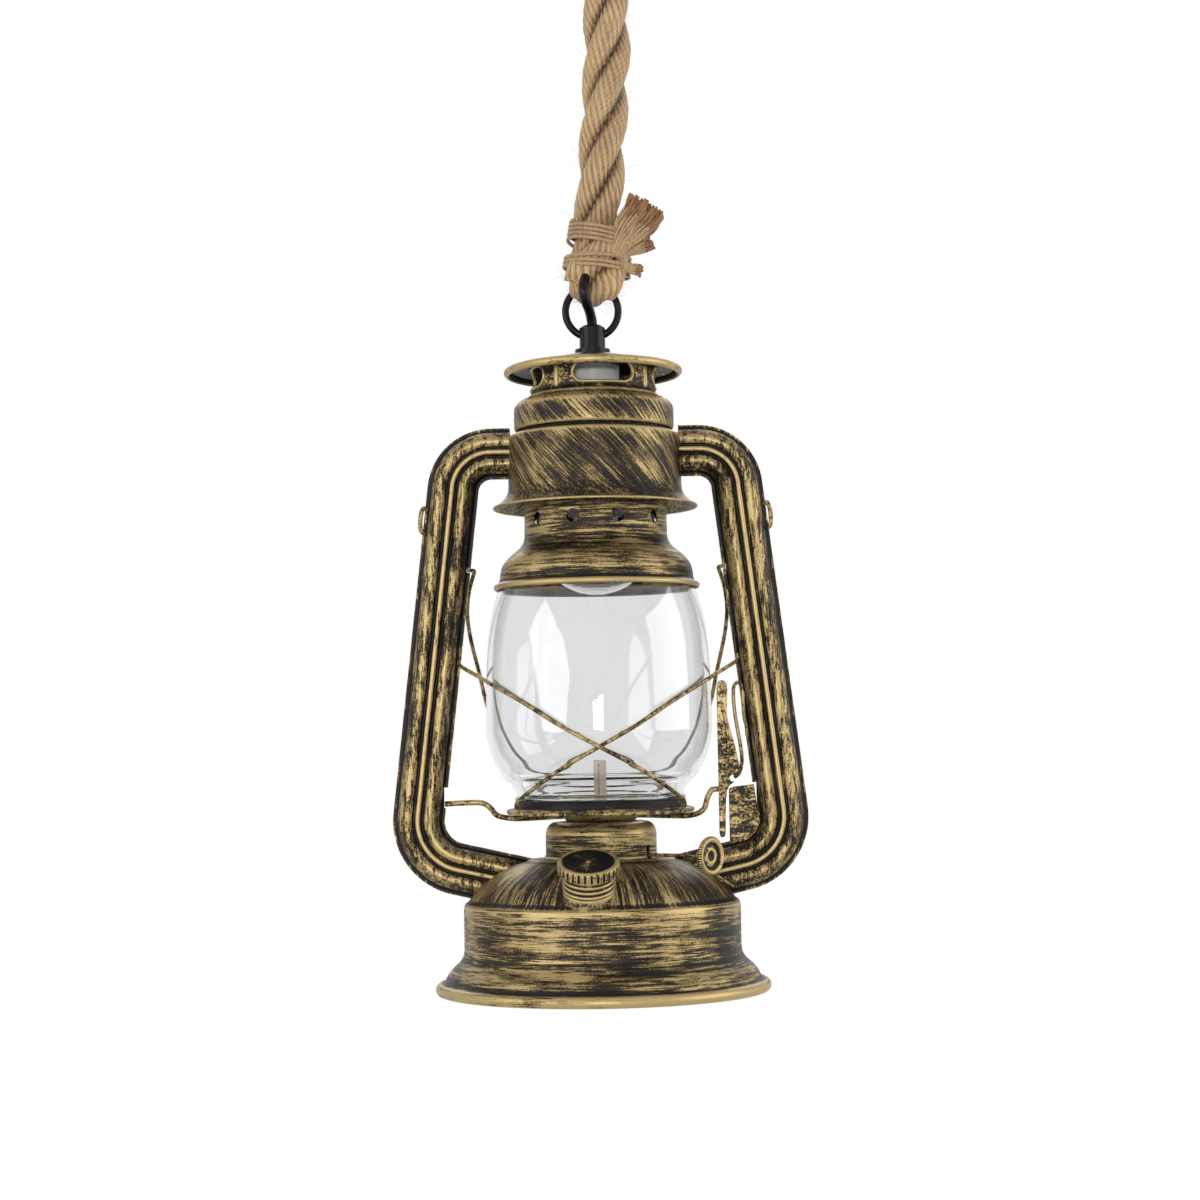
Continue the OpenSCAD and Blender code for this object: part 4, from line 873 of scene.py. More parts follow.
collar = {"radius": 27, "top": 82.4, "slotAngle": -41, "slotOff": 3.6}
collarLine = [(collar["radius"] + 0.9, dome["top"]), (collar["radius"] + 0.8, dome["top"] + 0.8),
              (collar["radius"], dome["top"] + 1.8), (collar["radius"], collar["top"] - 5.5),
              (collar["radius"] - 0.8, collar["top"] - 2.6), (collar["radius"] - 2.6, collar["top"] - 0.7),
              (collar["radius"] - 5, collar["top"]), (13, collar["top"])]
collarPiece = turned("burnerCollar", collarLine, sheet)
slotLine = [(-1.5, dome["top"] - 1), (1.5, dome["top"] - 1)] + arcPoints(0, dome["top"] + 5, 1.5, 0, 180, 10)
slotLine = [(x + collar["slotOff"], y) for x, y in slotLine]
collarPiece = cutOut(collarPiece, prism("slotCutter", slotLine, 20, 32, aroundAxis(collar["slotAngle"])))
dress(collarPiece, "lantern", "aged_brass", brass["bell"], "burner_collar")

burner = {"radius": 18.8, "top": 92, "wickWide": 7.4, "wickThick": 2}
capLine = [(burner["radius"] - 2.4, collar["top"] + 0.1), (burner["radius"] - 1, collar["top"] + 1.4),
           (burner["radius"], collar["top"] + 4), (burner["radius"] - 0.4, burner["top"] - 2.6),
           (burner["radius"] - 3.4, burner["top"] - 0.9), (10, burner["top"] - 0.1), (0.3, burner["top"])]


def inWickFrame(x, y, z):
    a = math.radians(collar["slotAngle"])
    return spot(x * math.cos(a) - y * math.sin(a), x * math.sin(a) + y * math.cos(a), z)


burnerCap = turned("burnerCap", capLine, sheet, reach=1.2)
burnerSlot = [(-5.7, -2.6), (5.7, -2.6), (5.7, 2.6), (-5.7, 2.6)]
burnerCap = cutOut(burnerCap, prism("wickCutter", burnerSlot, 88, 94, inWickFrame))
dress(burnerCap, "lantern", "aged_brass", brass["bell"], "burner_cap")

drum = {"radius": 42.5, "topRadius": 39.3, "skirt": 50.4, "low": 235.3, "groove": 272.6, "top": 289.6}
drumLine = [(drum["skirt"] - 0.3, drum["low"]), (drum["skirt"], drum["low"] + 0.5),
            (drum["skirt"] - 0.3, drum["low"] + 1.1), (drum["skirt"] - 1.6, drum["low"] + 1.7),
            (drum["radius"] + 3.9, drum["low"] + 3.2), (drum["radius"] + 1.6, drum["low"] + 5.4),
            (drum["radius"] + 0.4, drum["low"] + 8), (drum["radius"], drum["low"] + 11),
            (drum["radius"], drum["groove"] - 2.6), (drum["radius"] - 0.8, drum["groove"] - 1.2),
            (drum["topRadius"] - 1.4, drum["groove"] - 0.4), (drum["topRadius"] - 1.6, drum["groove"] + 0.6),
            (drum["topRadius"], drum["groove"] + 1.8), (drum["topRadius"], drum["top"] - 5.4),
            (drum["topRadius"] - 0.6, drum["top"] - 3.4), (drum["topRadius"] - 2.6, drum["top"] - 1.4),
            (drum["topRadius"] - 6.4, drum["top"] - 0.2), (27.5, drum["top"] - 0.1)]
dress(turned("canopyDrum", drumLine, sheet, around=144, reach=1.0), "lantern", "aged_brass", brass["drum"],
      "canopy_drum")

chimney = {"radius": 35, "bell": 50.6, "low": 195.3, "holes": 10, "holeSize": 6.8, "top": 248.7}
chimneyLine = [(chimney["bell"] - 1.2, chimney["low"]), (chimney["bell"] - 0.2, chimney["low"] + 0.7),
               (chimney["bell"], chimney["low"] + 1.7), (chimney["bell"] - 0.5, chimney["low"] + 2.8),
               (chimney["bell"] - 2.6, chimney["low"] + 3.6), (chimney["bell"] - 3.2, chimney["low"] + 6),
               (chimney["bell"] - 3.4, chimney["low"] + 9), (chimney["bell"] - 4.6, chimney["low"] + 12.6),
               (chimney["bell"] - 7.2, chimney["low"] + 15.8), (40.6, chimney["low"] + 18.2),
               (37.6, chimney["low"] + 20.6), (35.6, chimney["low"] + 23.4), (35, chimney["low"] + 26),
               (chimney["radius"], chimney["top"]), (chimney["radius"] + 3.9, chimney["top"])]
chimneyPiece = turned("chimneyAndBell", chimneyLine, sheet, around=144, reach=1.1)
holeLine = arcPoints(0, 0, chimney["holeSize"] / 2, 0, 360, 32)[:-1]
holeLine = [(u, v + chimney["low"] + 33.7) for u, v in holeLine]
holeTurns = [-90 + 360 / chimney["holes"] * (i + 0.5) for i in range(chimney["holes"])]
holeCutter = joined("holeCutter", [prism("hole", holeLine, 31, 39, aroundAxis(a)) for a in holeTurns])
chimneyPiece = cutOut(chimneyPiece, holeCutter)
dress(chimneyPiece, "globe_carriage", "aged_brass", brass["bell"], "chimney")

glass = {"low": 93.1, "radius": 55, "wall": 2, "height": 105.18}
glassSteps = [(41.6, 0), (41.7, 1.2), (40.5, 2.4), (40.7, 4), (43.6, 7.8), (46.8, 10.6), (49.6, 15.4), (52, 20),
              (53.6, 25), (54.8, 31), (55, 36), (54.8, 55), (53.9, 75), (52.6, 86), (50.6, 95),
              (47.4, glass["height"])]
dress(turned("glassGlobe", [(r, glass["low"] + z) for r, z in glassSteps], glass["wall"], around=160,
             smooth=5, step=4), "globe_carriage", "clear_glass", globeGlass, "glass_globe")

globePlate = {"radius": 45.7, "seat": 93.0}
seat = globePlate["seat"]
plateLine = [(23, seat - 6), (28, seat - 6.4), (35, seat - 6.2), (38.2, seat - 4.2), (39, seat), (41.6, seat),
             (42.2, seat - 3.6), (43, seat - 6.2)] + arcPoints(globePlate["radius"] - 1.4, seat - 5.4, 0.6,
                                                              -80, 130, 8)
platePiece = turned("globePlate", plateLine, -sheet, around=144, reach=0.5)
for vertex, wear in zip(platePiece.data.vertices, platePiece.data.attributes["wear"].data):
    # the rolled rim is set to carry gold; the dish inside it and its underside are set dark
    wear.value = 0.22 if math.hypot(vertex.co.x, vertex.co.y) > 0.0434 else -0.36
dress(platePiece, "globe_carriage", "aged_brass", brass["plate"], "globe_plate")

topPlate = {"radius": 44, "low": 305, "middle": 311, "roll": 2.15}
topLine = ([(topPlate["radius"] - 2.6, topPlate["low"] - 2 * topPlate["roll"] + 0.3)]
           + arcPoints(topPlate["radius"] - topPlate["roll"], topPlate["low"] - topPlate["roll"],
                       topPlate["roll"], -70, 130, 10)
           + [(38, topPlate["low"] - 0.9), (30, topPlate["low"] + 1.4), (20, topPlate["middle"] - 1.6),
              (13, topPlate["middle"]), (5, topPlate["middle"])])
dress(turned("topPlate", topLine, sheet, around=144, reach=1.2), "lantern", "aged_brass", brass["plate"],
      "top_plate")

# the spring over the chimney runs up to just under the drum's groove, which presses it together when the globe is
# lifted; here it keeps one length
spring = {"radius": 38.1, "wire": 0.8, "turns": 4, "lift": 6}
springLow = chimney["top"] + sheet + spring["wire"] + 0.1
springHigh = drum["groove"] - sheet - 1.6 - spring["wire"]
springLine = [(spring["radius"] * math.cos(math.tau * i / 32), spring["radius"] * math.sin(math.tau * i / 32),
               springLow + (springHigh - springLow) * i / (32 * spring["turns"]))
              for i in range(32 * spring["turns"] + 1)]
chimneySpring = dress(swept("chimneySpring", springLine, spring["wire"], 12, (0.01, 0, 1)), "globe_carriage",
                      "zinc_steel", zinc, "chimney_spring")
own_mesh(chimneySpring)

crown = {"radius": 30.5, "foot": 289.6, "top": 305.4, "windows": 4, "windowHigh": 9, "windowHalf": 9.58}
crownLine = [(crown["radius"] + 1.9, crown["foot"]), (crown["radius"] + 1.8, crown["foot"] + 0.9),
             (crown["radius"], crown["foot"] + 2.4), (crown["radius"], crown["top"])]
crownBand = turned("crownBand", crownLine, sheet, around=144, step=1.5)
windowMid = crown["foot"] + 5 + crown["windowHigh"] / 2


def windowLine(grow, steps=10):
    high = crown["windowHigh"] / 2 + grow
    half = crown["windowHalf"]
    line = arcPoints(half, windowMid, high, -90, 90, steps) + arcPoints(-half, windowMid, high, 90, 270, steps)
    return line


crownTurns = [-80 + 360 / crown["windows"] * i for i in range(crown["windows"])]
windowCutter = joined("windowCutter", [prism("window", windowLine(0), 22, 38, aroundAxis(a)) for a in crownTurns])
crownPieces = [cutOut(crownBand, windowCutter)]


def wrapped(u, v, turn, out):
    # a point on the crown's wall, with u as its width to the side of the window's middle
    a = math.radians(turn) + math.asin(max(-1, min(1, u / crown["radius"])))
    return ((crown["radius"] + out) * math.cos(a), (crown["radius"] + out) * math.sin(a), v)


for i, turn in enumerate(crownTurns):
    rim = resample(windowLine(0.7, 12) + windowLine(0.7, 12)[:2], 1.5)
    rimPath = [wrapped(u, v, turn, 0.1) for u, v in rim]
    crownPieces.append(swept("windowRim" + str(i), rimPath, 0.75, 10))
    post = math.radians(turn + 180 / crown["windows"])
    beadPath = [(crown["radius"] * math.cos(post), crown["radius"] * math.sin(post), crown["foot"] + 2.6 + 1.15 * k)
                for k in range(11)]
    crownPieces.append(swept("postBead" + str(i), beadPath, lambda s: 1.35 * min(1, 0.5 + 6 * min(s, 1 - s)), 16,
                             (1, 0, 0)))
crownPiece = markWear(joined("crown", crownPieces))
dress(crownPiece, "lantern", "aged_brass", brass["small"], "crown")
print("turned pieces ready")

# ---------- filler cap and wick knob ----------

filler = {"size": 29, "high": 5.4, "flutes": 30, "lean": 23.6, "reach": 15, "neck": 24, "top": (-6, -63.5, 66.2)}
lean = math.radians(filler["lean"])
capAxis = Vector((0, -math.sin(lean), math.cos(lean)))
capBase = Vector(filler["top"]) - filler["reach"] * capAxis


def inCapFrame(x, y, z):
    p = capBase + Vector((x, 0, 0)) + y * Vector((0, math.cos(lean), math.sin(lean))) + z * capAxis
    return spot(*p)


def fluted(r, z, a):
    edge = filler["size"] / 2
    low = filler["reach"] - filler["high"]
    if r < edge - 1.3 or z > filler["reach"] - 0.9 or z < low - 0.5:
        return r
    return r - 0.62 * (0.5 + 0.5 * math.cos(filler["flutes"] * a)) ** 2.2


capLow = filler["reach"] - filler["high"]
fillerLine = [(filler["neck"] / 2 + 0.6, capLow + 3.4), (filler["neck"] / 2 + 0.6, capLow),
              (filler["size"] / 2, capLow), (filler["size"] / 2, capLow + 1.6),
              (filler["size"] / 2, capLow + 3.2), (filler["size"] / 2, capLow + filler["high"] - 1),
              (filler["size"] / 2 - 0.8, capLow + filler["high"] - 0.2),
              (filler["size"] / 2 - 2, capLow + filler["high"]), (filler["size"] / 2 - 2.8, capLow + filler["high"] - 0.5),
              (filler["size"] / 2 - 5, capLow + filler["high"] - 0.6), (5, capLow + filler["high"] - 0.5),
              (0.2, capLow + filler["high"] - 0.4)]
dress(turned("fillerCap", fillerLine + [(0.2, capLow + 3.9), (filler["neck"] / 2 + 0.3, capLow + 3.9)], 0,
             around=360, reach=0.35, place=inCapFrame, flute=fluted, step=1.2),
      "filler_cap", "aged_brass", brass["cap"], "filler_cap", "filler_cap_disc")

neckLine = [(filler["neck"] / 2, -10), (filler["neck"] / 2, 0)]
for i in range(3):
    neckLine += [(filler["neck"] / 2 - 0.7, 2.5 * i + 0.4), (filler["neck"] / 2 + 0.2, 2.5 * i + 1),
                 (filler["neck"] / 2 + 0.2, 2.5 * i + 1.8), (filler["neck"] / 2 - 0.7, 2.5 * i + 2.4)]
neckLine += [(filler["neck"] / 2 - 0.5, 8.4), (filler["neck"] / 2 - 0.5, 12.4)]
dress(turned("fillerNeck", neckLine, 0.7, around=96, reach=0.4, place=inCapFrame, step=1.0), "lantern",
      "aged_brass", brass["small"], "filler_neck")

knob = {"size": 18.2, "thick": 3.2, "reach": 65, "height": 66.3, "turn": 49, "off": 3.6}
shaftDir = Vector((math.sin(math.radians(knob["turn"])), -math.cos(math.radians(knob["turn"])), 0))
shaftSide = Vector((math.cos(math.radians(knob["turn"])), math.sin(math.radians(knob["turn"])), 0))


def inShaftFrame(x, y, z):
    p = knob["off"] * shaftSide + Vector((0, 0, knob["height"] - x)) + (knob["reach"] + z) * shaftDir + y * shaftSide
    return spot(*p)


edge, half = knob["size"] / 2, knob["thick"] / 2
knobLine = ([(0.2, -half), (edge - 2.4, -half), (edge - 1.9, -half + 0.2)]
            + arcPoints(edge - 1.25, 0, 1.45, -110, 150, 12)
            + [(edge - 3.0, -0.2), (edge - 3.9, -0.15), (4.6, 0.1), (3.4, 0.55), (2.7, 0.45), (2.1, -0.1), (0.2, -0.5)])


def knobEdge(r, z, a):
    return r - (0.12 + 0.12 * math.cos(48 * a)) if r > knob["size"] / 2 - 0.7 else r


dress(turned("wickKnob", knobLine, 0, around=288, reach=0.3, place=inShaftFrame, flute=knobEdge, step=0.8),
      "wick_shaft", "aged_brass", brass["small"], "wick_knob")
print("filler cap and knob ready")

# ---------- side tubes ----------

tube = {"wide": 25.2, "deep": 9.4, "wall": 0.6, "topX": 69.1, "topZ": 263.2, "lean": 6.69, "upperBend": 19,
        "lowerBend": 24, "lowerZ": 86.6, "slope": 13, "carrier": 92, "bail": 206}
tubeLean, tubeSlope = math.radians(tube["lean"]), math.radians(tube["slope"])
upperMiddle = Vector((tube["topX"] - tube["upperBend"] * 0.96, tube["topZ"] - tube["upperBend"]))
upperEnd = upperMiddle + tube["upperBend"] * Vector((math.cos(tubeLean), math.sin(tubeLean)))


def tubeX(z):
    return upperEnd[0] + (upperEnd[1] - z) * math.tan(tubeLean)


lowerStart = Vector((tubeX(tube["lowerZ"]), tube["lowerZ"]))
lowerMiddle = lowerStart - tube["lowerBend"] * Vector((math.cos(tubeLean), math.sin(tubeLean)))
lowerEnd = lowerMiddle + tube["lowerBend"] * Vector((math.sin(tubeSlope), -math.cos(tubeSlope)))
w, d = tube["wide"] / 2, tube["deep"]
lobeOut = [(-w, 0.6), (-w + 2, 0.6), (-w + 2.7, 4.0), (-8.4, 6.5), (-6.6, 7.9), (-5.2, 8.2), (-3.6, 7.7),
           (-2.3, 6.6), (-1.5, 6.9), (-1.05, 9.0), (-0.4, d)]
tubeOutline = rounded(lobeOut + [(-x, y) for x, y in reversed(lobeOut)], 0.6)
tubeOutline = [Vector((max(-w, min(w, p[0])), p[1])) for p in tubeOutline]


def onBend(middle, r, a):
    out = Vector((math.cos(a), math.sin(a)))
    return middle + r * out, out


def tubePlaces():
    places = [(Vector((41.4, tube["topZ"])), Vector((0, 1))), (Vector((46, tube["topZ"])), Vector((0, 1)))]
    start, end = math.radians(90), tubeLean
    places += [onBend(upperMiddle, tube["upperBend"], start + (end - start) * i / 20) for i in range(21)]
    out = Vector((math.cos(tubeLean), math.sin(tubeLean)))
    places += [(upperEnd.lerp(lowerStart, i / 40), out) for i in range(1, 40)]
    end = tubeSlope - math.pi / 2
    places += [onBend(lowerMiddle, tube["lowerBend"], tubeLean + (end - tubeLean) * i / 20) for i in range(21)]
    along = Vector((math.cos(tubeSlope), math.sin(tubeSlope)))
    places += [(lowerEnd - 36 * along * i / 8, Vector((math.sin(tubeSlope), -math.cos(tubeSlope))))
               for i in range(1, 9)]
    return places


def tubeHalf():
    inner = [Vector(p) for p in insetLine([(p[0], p[1]) for p in tubeOutline], 0)]
    for i, p in enumerate(tubeOutline):
        a, b = tubeOutline[max(i - 1, 0)], tubeOutline[min(i + 1, len(tubeOutline) - 1)]
        side = (b - a).normalized()
        inner[i] = Vector((p[0] + tube["wall"] * side[1], p[1] - tube["wall"] * side[0]))
    loop = tubeOutline + list(reversed(inner))
    n = len(loop)
    places = tubePlaces()
    points = [spot(p[0] + u[0] * out[0], -u[1], p[1] + u[0] * out[1]) for p, out in places for u in loop]
    faces = [(i * n + k, i * n + (k + 1) % n, (i + 1) * n + (k + 1) % n, (i + 1) * n + k)
             for i in range(len(places) - 1) for k in range(n)]
    faces += [tuple(range(n)), tuple((len(places) - 1) * n + k for k in range(n))]
    piece = meshPiece("rightTubeFront", points, faces)
    slotX = tubeX(tube["carrier"]) - w
    slot = [(slotX - 8, 90), (slotX + 0.9, 90), (slotX + 0.9, 100), (slotX - 8, 100)]
    notch = arcPoints(0, tube["bail"], 1.35, 0, 360, 16)[:-1]
    slotCutter = prism("slot", slot, -12, 12, lambda x, z, y: spot(x, y, z))
    notchX = tubeX(tube["bail"]) - w
    notchCutter = prism("notch", notch, notchX - 1, notchX + 1.8, lambda y, z, x: spot(x, y, z))
    return cutOut(markWear(piece, 1.8), joined("tubeCutter", [slotCutter, notchCutter]))


rightFront = tubeHalf()
rightBack = mirrored(rightFront, "rightTubeBack", 1)
leftFront = mirrored(rightFront, "leftTubeFront", 0)
leftBack = mirrored(rightBack, "leftTubeBack", 0)
for piece, node in ((rightFront, "right_tube_front"), (rightBack, "right_tube_back"),
                    (leftFront, "left_tube_front"), (leftBack, "left_tube_back")):
    dress(piece, "lantern", "aged_brass", brass["tube"], node)
print("side tubes ready")

# ---------- wires ----------

guard = {"wire": 1.0, "end": 159, "low": 87, "ring": 47.3}


def onFlange(z):
    return (tubeX(z) - w + 0.9, -0.6 - 0.1 - guard["wire"], z)


guardDown = [(-58, -18, 153.5), (-50, -29, 148.5), (-35, -45.6, 139.5), (-18, -55.4, 128.5), (0, -59.2, 118.5),
             (18, -55.4, 108.5), (31, -45, 99.5), (38.5, -33.5, 93.5), (39.6, -29.2, 89.2)]
guardUp = [(-39.6, -29.2, 89.2), (-38.5, -33.5, 93.5), (-31, -45, 99.5), (-18, -54, 108.5), (0, -56.9, 118.5),
           (18, -55.4, 128.5), (35, -45.6, 139.5), (50, -29, 148.5), (58, -18, 153.5)]
guardEnd = [onFlange(guard["end"] + 4), onFlange(guard["end"] + 1), (64, -9, guard["end"] - 2)]
guardRing = [(guard["ring"] * math.sin(math.radians(a)), -guard["ring"] * math.cos(math.radians(a)), guard["low"])
             for a in range(50, -51, -20)]
guardLine = ([(-x, y, z) for x, y, z in guardEnd] + guardDown + guardRing + guardUp + list(reversed(guardEnd)))
frontGuard = swept("frontGuardWire", throughPoints(guardLine, 7), guard["wire"], 14)
rearGuard = mirrored(frontGuard, "rearGuardWire", 1)
dress(frontGuard, "lantern", "aged_brass", brass["wire"], "front_guard_wire")
dress(rearGuard, "lantern", "aged_brass", brass["wire"], "rear_guard_wire")

hook = Vector((tubeX(tube["bail"]) - w, 0, tube["bail"]))
bailHalf = [tuple(hook + Vector(p)) for p in ((1.5, 0, 0), (-0.6, 0, 0), (-1.8, 1.4, -0.8))]
bailHalf += [(61.6, 4.8, 201), (63.4, 9.6, 195), (64.4, 13.2, 186), (63.6, 17, 176), (61.6, 21.4, 165.5),
             (59.2, 25.4, 155), (56, 30, 140), (50, 38, 124), (41, 48, 110), (30, 54.5, 103.5), (15, 57.5, 101.3)]
bailLine = [(-x, y, z) for x, y, z in bailHalf] + [(0, 58.5, 101)] + list(reversed(bailHalf))
dress(swept("rearBail", throughPoints(bailLine, 8), 1.0, 14), "rear_bail", "aged_brass", brass["wire"], "rear_bail")

carrierLow = seat - 6.4 - 0.8 - 0.1 - 1.35
carrierLine = [(-tubeX(92) + w - 0.6, 0, 92), (-66, 0, 92.4), (-58, 0, 92.2), (-54, 0, 90), (-51, 0, 86.4),
               (-47.5, 0, carrierLow + 0.8), (-42, 0, carrierLow), (-36, 2, carrierLow)]
carrierLine += [(30.4 * math.sin(math.radians(a)), 30.4 * math.cos(math.radians(a)), carrierLow)
                for a in range(-70, 71, 20)]
carrierLine += [(36, 2, carrierLow), (42, -2, carrierLow), (47, -3.4, carrierLow + 1), (50.4, -4.2, 88),
                (52, -4.5, 93), (54, -4.5, 96.4), (55.6, -4.5, 97), (60, -4.5, 97)]
dress(swept("carrierWire", throughPoints(carrierLine, 7), 1.35, 18), "globe_carriage", "aged_brass",
      brass["wire"], "carrier_wire")

linkLine = [(72, -1.6, 122.5), (71.9, -1.6, 127), (70.8, -3.4, 131), (70.2, -6, 138), (70, -5.8, 144.6),
            (68.6, -5.4, 148.4), (66.4, -4.6, 147.6), (65.6, -4, 143), (66.4, -3.4, 132), (68.6, -3, 118),
            (69.2, -2.6, 110), (67.6, -2.8, 104.4), (65.2, -3.2, 102.6)]
dress(swept("leverLink", throughPoints(linkLine, 8), 0.9, 14), "lantern", "aged_brass", brass["wire"], "lever_link")

ear = {"top": 236, "long": 11, "seat": 1.8}
earX, earLowX, earLow = tubeX(ear["top"]) + w, tubeX(ear["top"] - ear["long"]) + w, ear["top"] - ear["long"]
earLine = [(earX - 0.8, -ear["seat"], ear["top"]), (earX + 0.6, -3.4, ear["top"] + 0.6),
           (earX + 1.6, -4.4, ear["top"] - 1.6), (earX + 2.2, -4.4, ear["top"] - ear["long"] / 2),
           (earX + 2.2, -4.2, earLow + 2), (earLowX + 0.4, -3.2, earLow), (earLowX - 0.8, -ear["seat"], earLow - 0.6)]
rightEar = swept("rightBailEar", throughPoints(earLine, 8), 1.1, 14)
leftEar = mirrored(rightEar, "leftBailEar", 0)
dress(rightEar, "lantern", "aged_brass", brass["wire"], "bail_ears")
dress(leftEar, "lantern", "aged_brass", brass["wire"], "bail_ears")

stay = {"at": 58, "wire": 0.7, "eye": 1.63}
stayMiddle = knob["off"] * shaftSide + Vector((0, 0, knob["height"])) + stay["at"] * shaftDir
eyeTurns = [math.radians(a) for a in range(-90, 262, 16)]
stayFrom = stayMiddle - Vector((0, 0, stay["eye"]))
stayLine = [tuple(stayFrom), tuple(stayFrom + Vector((4, 5, -3))), tuple(stayFrom + Vector((9, 13, -8.4))),
            (63.2, -8.2, 50.3)]


def crimped(share):
    return stay["wire"] * (1.75 if 0.30 < share < 0.52 else 1.0)


stayEye = [stayMiddle + stay["eye"] * (math.cos(a) * shaftSide + math.sin(a) * Vector((0, 0, 1))) for a in eyeTurns]
stayPieces = [swept("stayRod", throughPoints(stayLine, 14), crimped, 12),
              swept("stayEye", stayEye, stay["wire"], 12, tuple(shaftDir))]
dress(joined("shaftStay", stayPieces), "lantern", "aged_brass", brass["wire"], "shaft_stay")
print("wires ready")

# ---------- lever and its bracket ----------


def plate(name, outline, low, high, place, chamfer=0.22):
    # a stamped plate with slightly broken edges
    line = [Vector(p) for p in outline]
    n = len(line)
    area = sum(a[0] * b[1] - b[0] * a[1] for a, b in zip(line, line[1:] + line[:1]))
    sign = 1 if area > 0 else -1
    inner = []
    for i, p in enumerate(line):
        along = (line[(i + 1) % n] - line[i - 1]).normalized()
        inner.append(Vector((p[0] - sign * chamfer * along[1], p[1] + sign * chamfer * along[0])))
    rows = [(inner, low), (line, low + chamfer), (line, high - chamfer), (inner, high)]
    points = [place(p[0], p[1], h) for row, h in rows for p in row]
    faces = [(j * n + k, j * n + (k + 1) % n, (j + 1) * n + (k + 1) % n, (j + 1) * n + k)
             for j in range(3) for k in range(n)]
    faces += [tuple(range(n)), tuple(3 * n + k for k in range(n))]
    return sharpen(meshPiece(name, points, faces), 20)


lever = {"at": (57.4, -4.5, 97), "sheet": 0.8, "hole": (7.0, 5.2), "holeSize": 1.6}
leverX, leverY, leverZ = lever["at"]
leverLine = [(0, -22.8), (1.6, -23.6), (3, -22.4), (3.4, -6), (4.4, 1.2), (8, 3.4), (10.8, 9), (8.4, 21),
             (5, 34), (4.6, 37), (5.4, 50), (4, 52.6), (1.4, 53), (0, 51)]
leverFold = [(-22, -1.4), (-10, 1.8), (-3, 3.2), (3, 3.2), (10, 2.4), (48, 1.8), (51, -1.4)]
leverFace = plate("leverFace", rounded(leverLine, 1.6, True), 1.0, 1.8,
                  lambda x, z, out: spot(leverX + x, leverY - out, leverZ + z))
leverSide = plate("leverSide", rounded(leverFold, 1.0, True), 0, 0.8,
                  lambda z, y, out: spot(leverX + out, leverY + y, leverZ + z))
leverRib = swept("leverRib", [(leverX + 3.4 + 1.6 * math.sin(k / 3), leverY - 1.75, leverZ + 8 + 3 * k)
                              for k in range(13)], lambda s: 1.5 * min(1, 0.35 + 4 * min(s, 1 - s)) * 0.62, 14)
leverSide = cutOut(leverSide, prism("boreCutter", arcPoints(0, 0, 1.43, 0, 360, 24)[:-1], -2, 4,
                                    lambda y, z, out: spot(leverX + out, leverY + y, leverZ + z)))
leverFace = cutOut(leverFace, prism("linkCutter", arcPoints(*lever["hole"], lever["holeSize"], 0, 360, 24)[:-1],
                                    -5, 5, lambda x, z, out: spot(leverX + x, leverY - out, leverZ + z)))
leverPiece = joined("liftLever", [leverFace, leverSide, leverRib])
dress(leverPiece, "lift_lever", "aged_brass", brass["small"], "lift_lever")

bracketLine = ([(62.6, 97), (64.4, 98), (74.9, 99), (76.4, 86.6)]
               + arcPoints(lowerMiddle[0], lowerMiddle[1], tube["lowerBend"] - w + 1.8, 0, -90, 12)
               + [(62.6, 70.8)])
bracketPiece = plate("leverBracket", bracketLine, 0.7, 1.5, lambda x, z, out: spot(x, -out, z))
dress(sharpen(bracketPiece), "lantern", "aged_brass", brass["small"], "lever_bracket")
print("lever ready")

# ---------- wick and lamp ----------

wick = {"low": 30, "top": 111.7, "wide": 7.4, "thick": 2.0}


def wickBody():
    n, rows = 28, 60
    points = []
    for j in range(rows + 1):
        z = wick["low"] + (wick["top"] - wick["low"]) * j / rows
        for k in range(n):
            a = 2 * math.pi * k / n
            x = math.copysign(abs(math.cos(a)) ** 0.35, math.cos(a)) * wick["wide"] / 2
            y = math.copysign(abs(math.sin(a)) ** 0.6, math.sin(a)) * wick["thick"] / 2
            weave = 1 - 0.03 * (0.5 + 0.5 * math.cos(8 * a)) - 0.02 * (j % 2)
            top = random.uniform(-0.5, 0) if j == rows else 0
            points.append(inWickFrame(x * weave, y * weave, z + top))
    faces = [(j * n + k, j * n + (k + 1) % n, (j + 1) * n + (k + 1) % n, (j + 1) * n + k)
             for j in range(rows) for k in range(n)]
    faces += [tuple(range(n)), tuple(rows * n + k for k in range(n))]
    return meshPiece("wickBraid", points, faces)


dress(wickBody(), "wick", "cotton", wickCloth, "wick")
redThread = satinPaint("redThread", (0.35, 0.045, 0.03), 0.75, 0.0001)


def stitches():
    made = []
    for face in (-1, 1):
        for i in range(8):
            z = 94.5 + 2.1 * i
            y = face * (wick["thick"] / 2 + 0.02)
            a = math.radians(collar["slotAngle"])
            line = [(x * math.cos(a) - y * math.sin(a), x * math.sin(a) + y * math.cos(a), z + 0.3 * k)
                    for k, x in enumerate((-0.1, -0.05, 0.0, 0.05, 0.1))]
            made.append(swept("stitch", line, 0.26, 8))
    return joined("wickStitches", made)


dress(stitches(), "wick", "cotton", redThread)

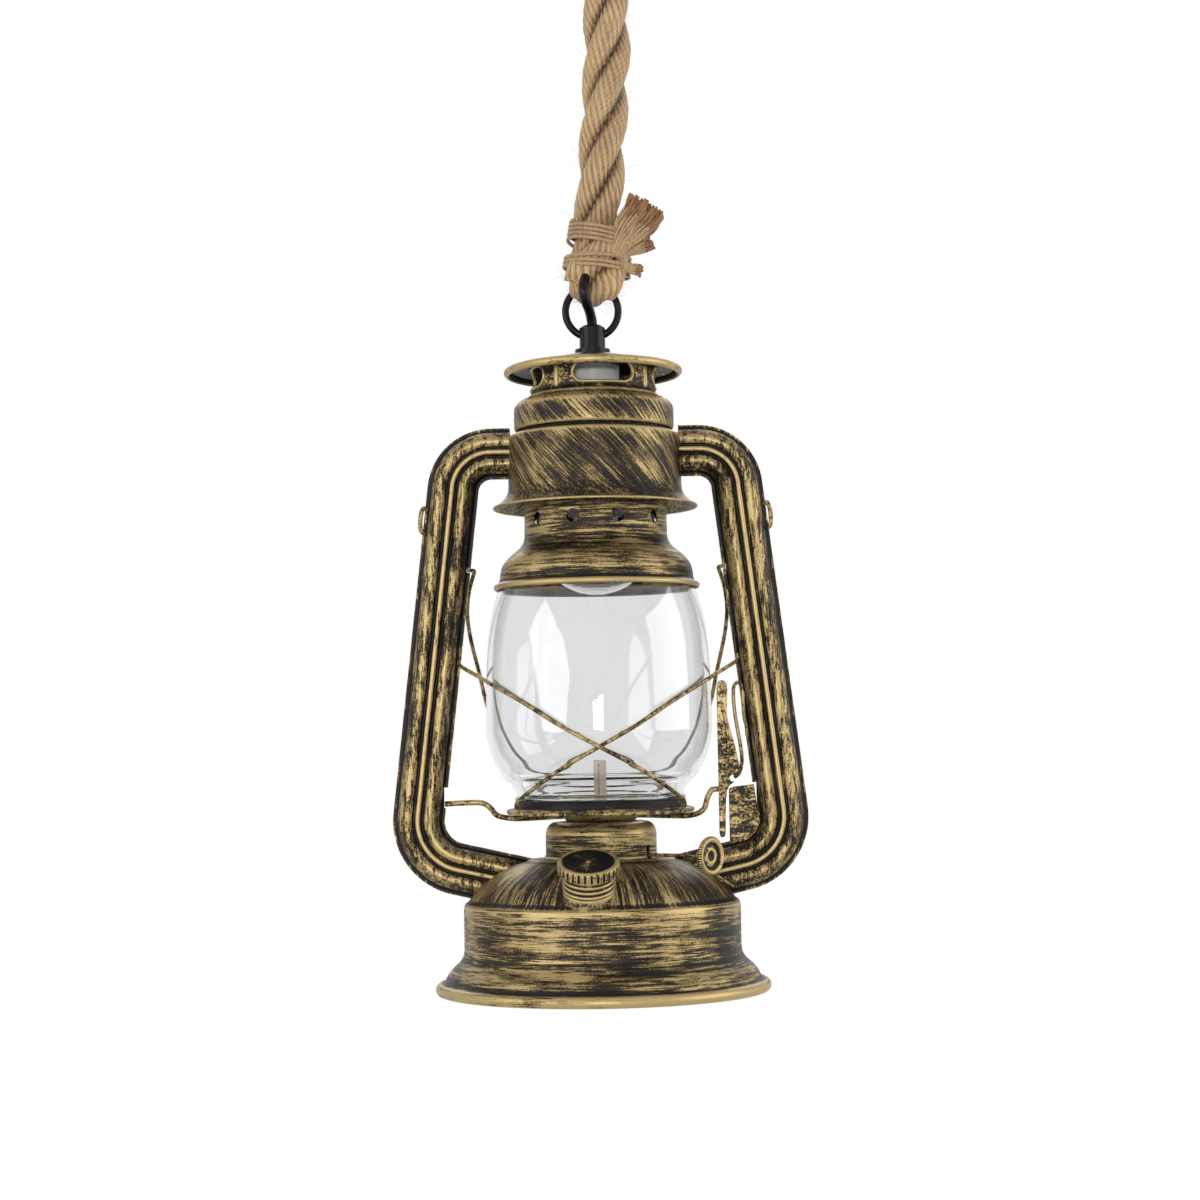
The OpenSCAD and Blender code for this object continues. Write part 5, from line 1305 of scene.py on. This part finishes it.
bulb = {"radius": 31, "middle": 223.8, "wall": 0.9}
bulbLine = ([(0.2, bulb["middle"] - bulb["radius"])] + arcPoints(0, bulb["middle"], bulb["radius"], -86, 44, 30)
            + [(17.6, 247.6), (14, 248.2), (12.6, 253.5)])
dress(turned("bulbGlass", bulbLine, bulb["wall"], around=120, reach=0.4, step=3), "lantern", "clear_glass",
      bulbGlass, "bulb_glass")

stickPieces = []
stemPieces = [swept("bulbStem", [(0, 0, bulb["middle"] - 6 + 1.9 * k) for k in range(19)],
                    lambda s: 2.4 - 0.5 * math.sin(math.pi * s), 20, (1, 0, 0))]
for a in (45, 135, 225, 315):
    c, s = math.cos(math.radians(a)), math.sin(math.radians(a))
    stick = [(8 * c + 3.55 * c * k / 20, 8 * s + 3.55 * s * k / 20, bulb["middle"] - 16 + 33.8 * k / 20)
             for k in range(21)]
    stickPieces.append(swept("stick", stick, lambda t: 1.0 * min(1, 0.4 + 14 * min(t, 1 - t)), 14, (1, 0, 0)))
    spoke = [(9 * c * k / 6, 9 * s * k / 6, bulb["middle"] - 5) for k in range(7)]
    stemPieces.append(swept("spoke", spoke, 0.35, 8))
dress(joined("filamentSticks", stickPieces), "lantern", "filament", filamentCoat, "bulb_filaments")
dress(joined("bulbStem", stemPieces), "lantern", "filament", zinc)

rose = {"radius": 50, "deep": 26, "round": 9, "top": 589.8}
roseLine = ([(5.0, rose["top"] - rose["deep"])]
            + arcPoints(rose["radius"] - rose["round"], rose["top"] - rose["deep"] + rose["round"],
                        rose["round"], -90, 0, 12) + [(rose["radius"], rose["top"])])
dress(turned("ceilingCanopy", roseLine, 1.0, around=144, reach=0.5), "ceiling_fitting", "black_steel", blackSteel,
      "ceiling_canopy")

coat(blackSteel, "canopy_screws", "upper_fitting", "upper_ring", "lower_ring", "lower_fitting")
coat(zinc, "ceiling_bracket", "upper_nut", "lower_nut", "bulb_cap")
coat(porcelain, "terminal_block", "lampholder")
coat(bareBrass, "lamp_contacts", "wick_tube")
coat(blackJacket, "lamp_cable")
coat(cork, "filler_gasket")
coat(brass["small"], "chimney_guide", "bottom_plate", "wick_shaft")
print("lamp ready")
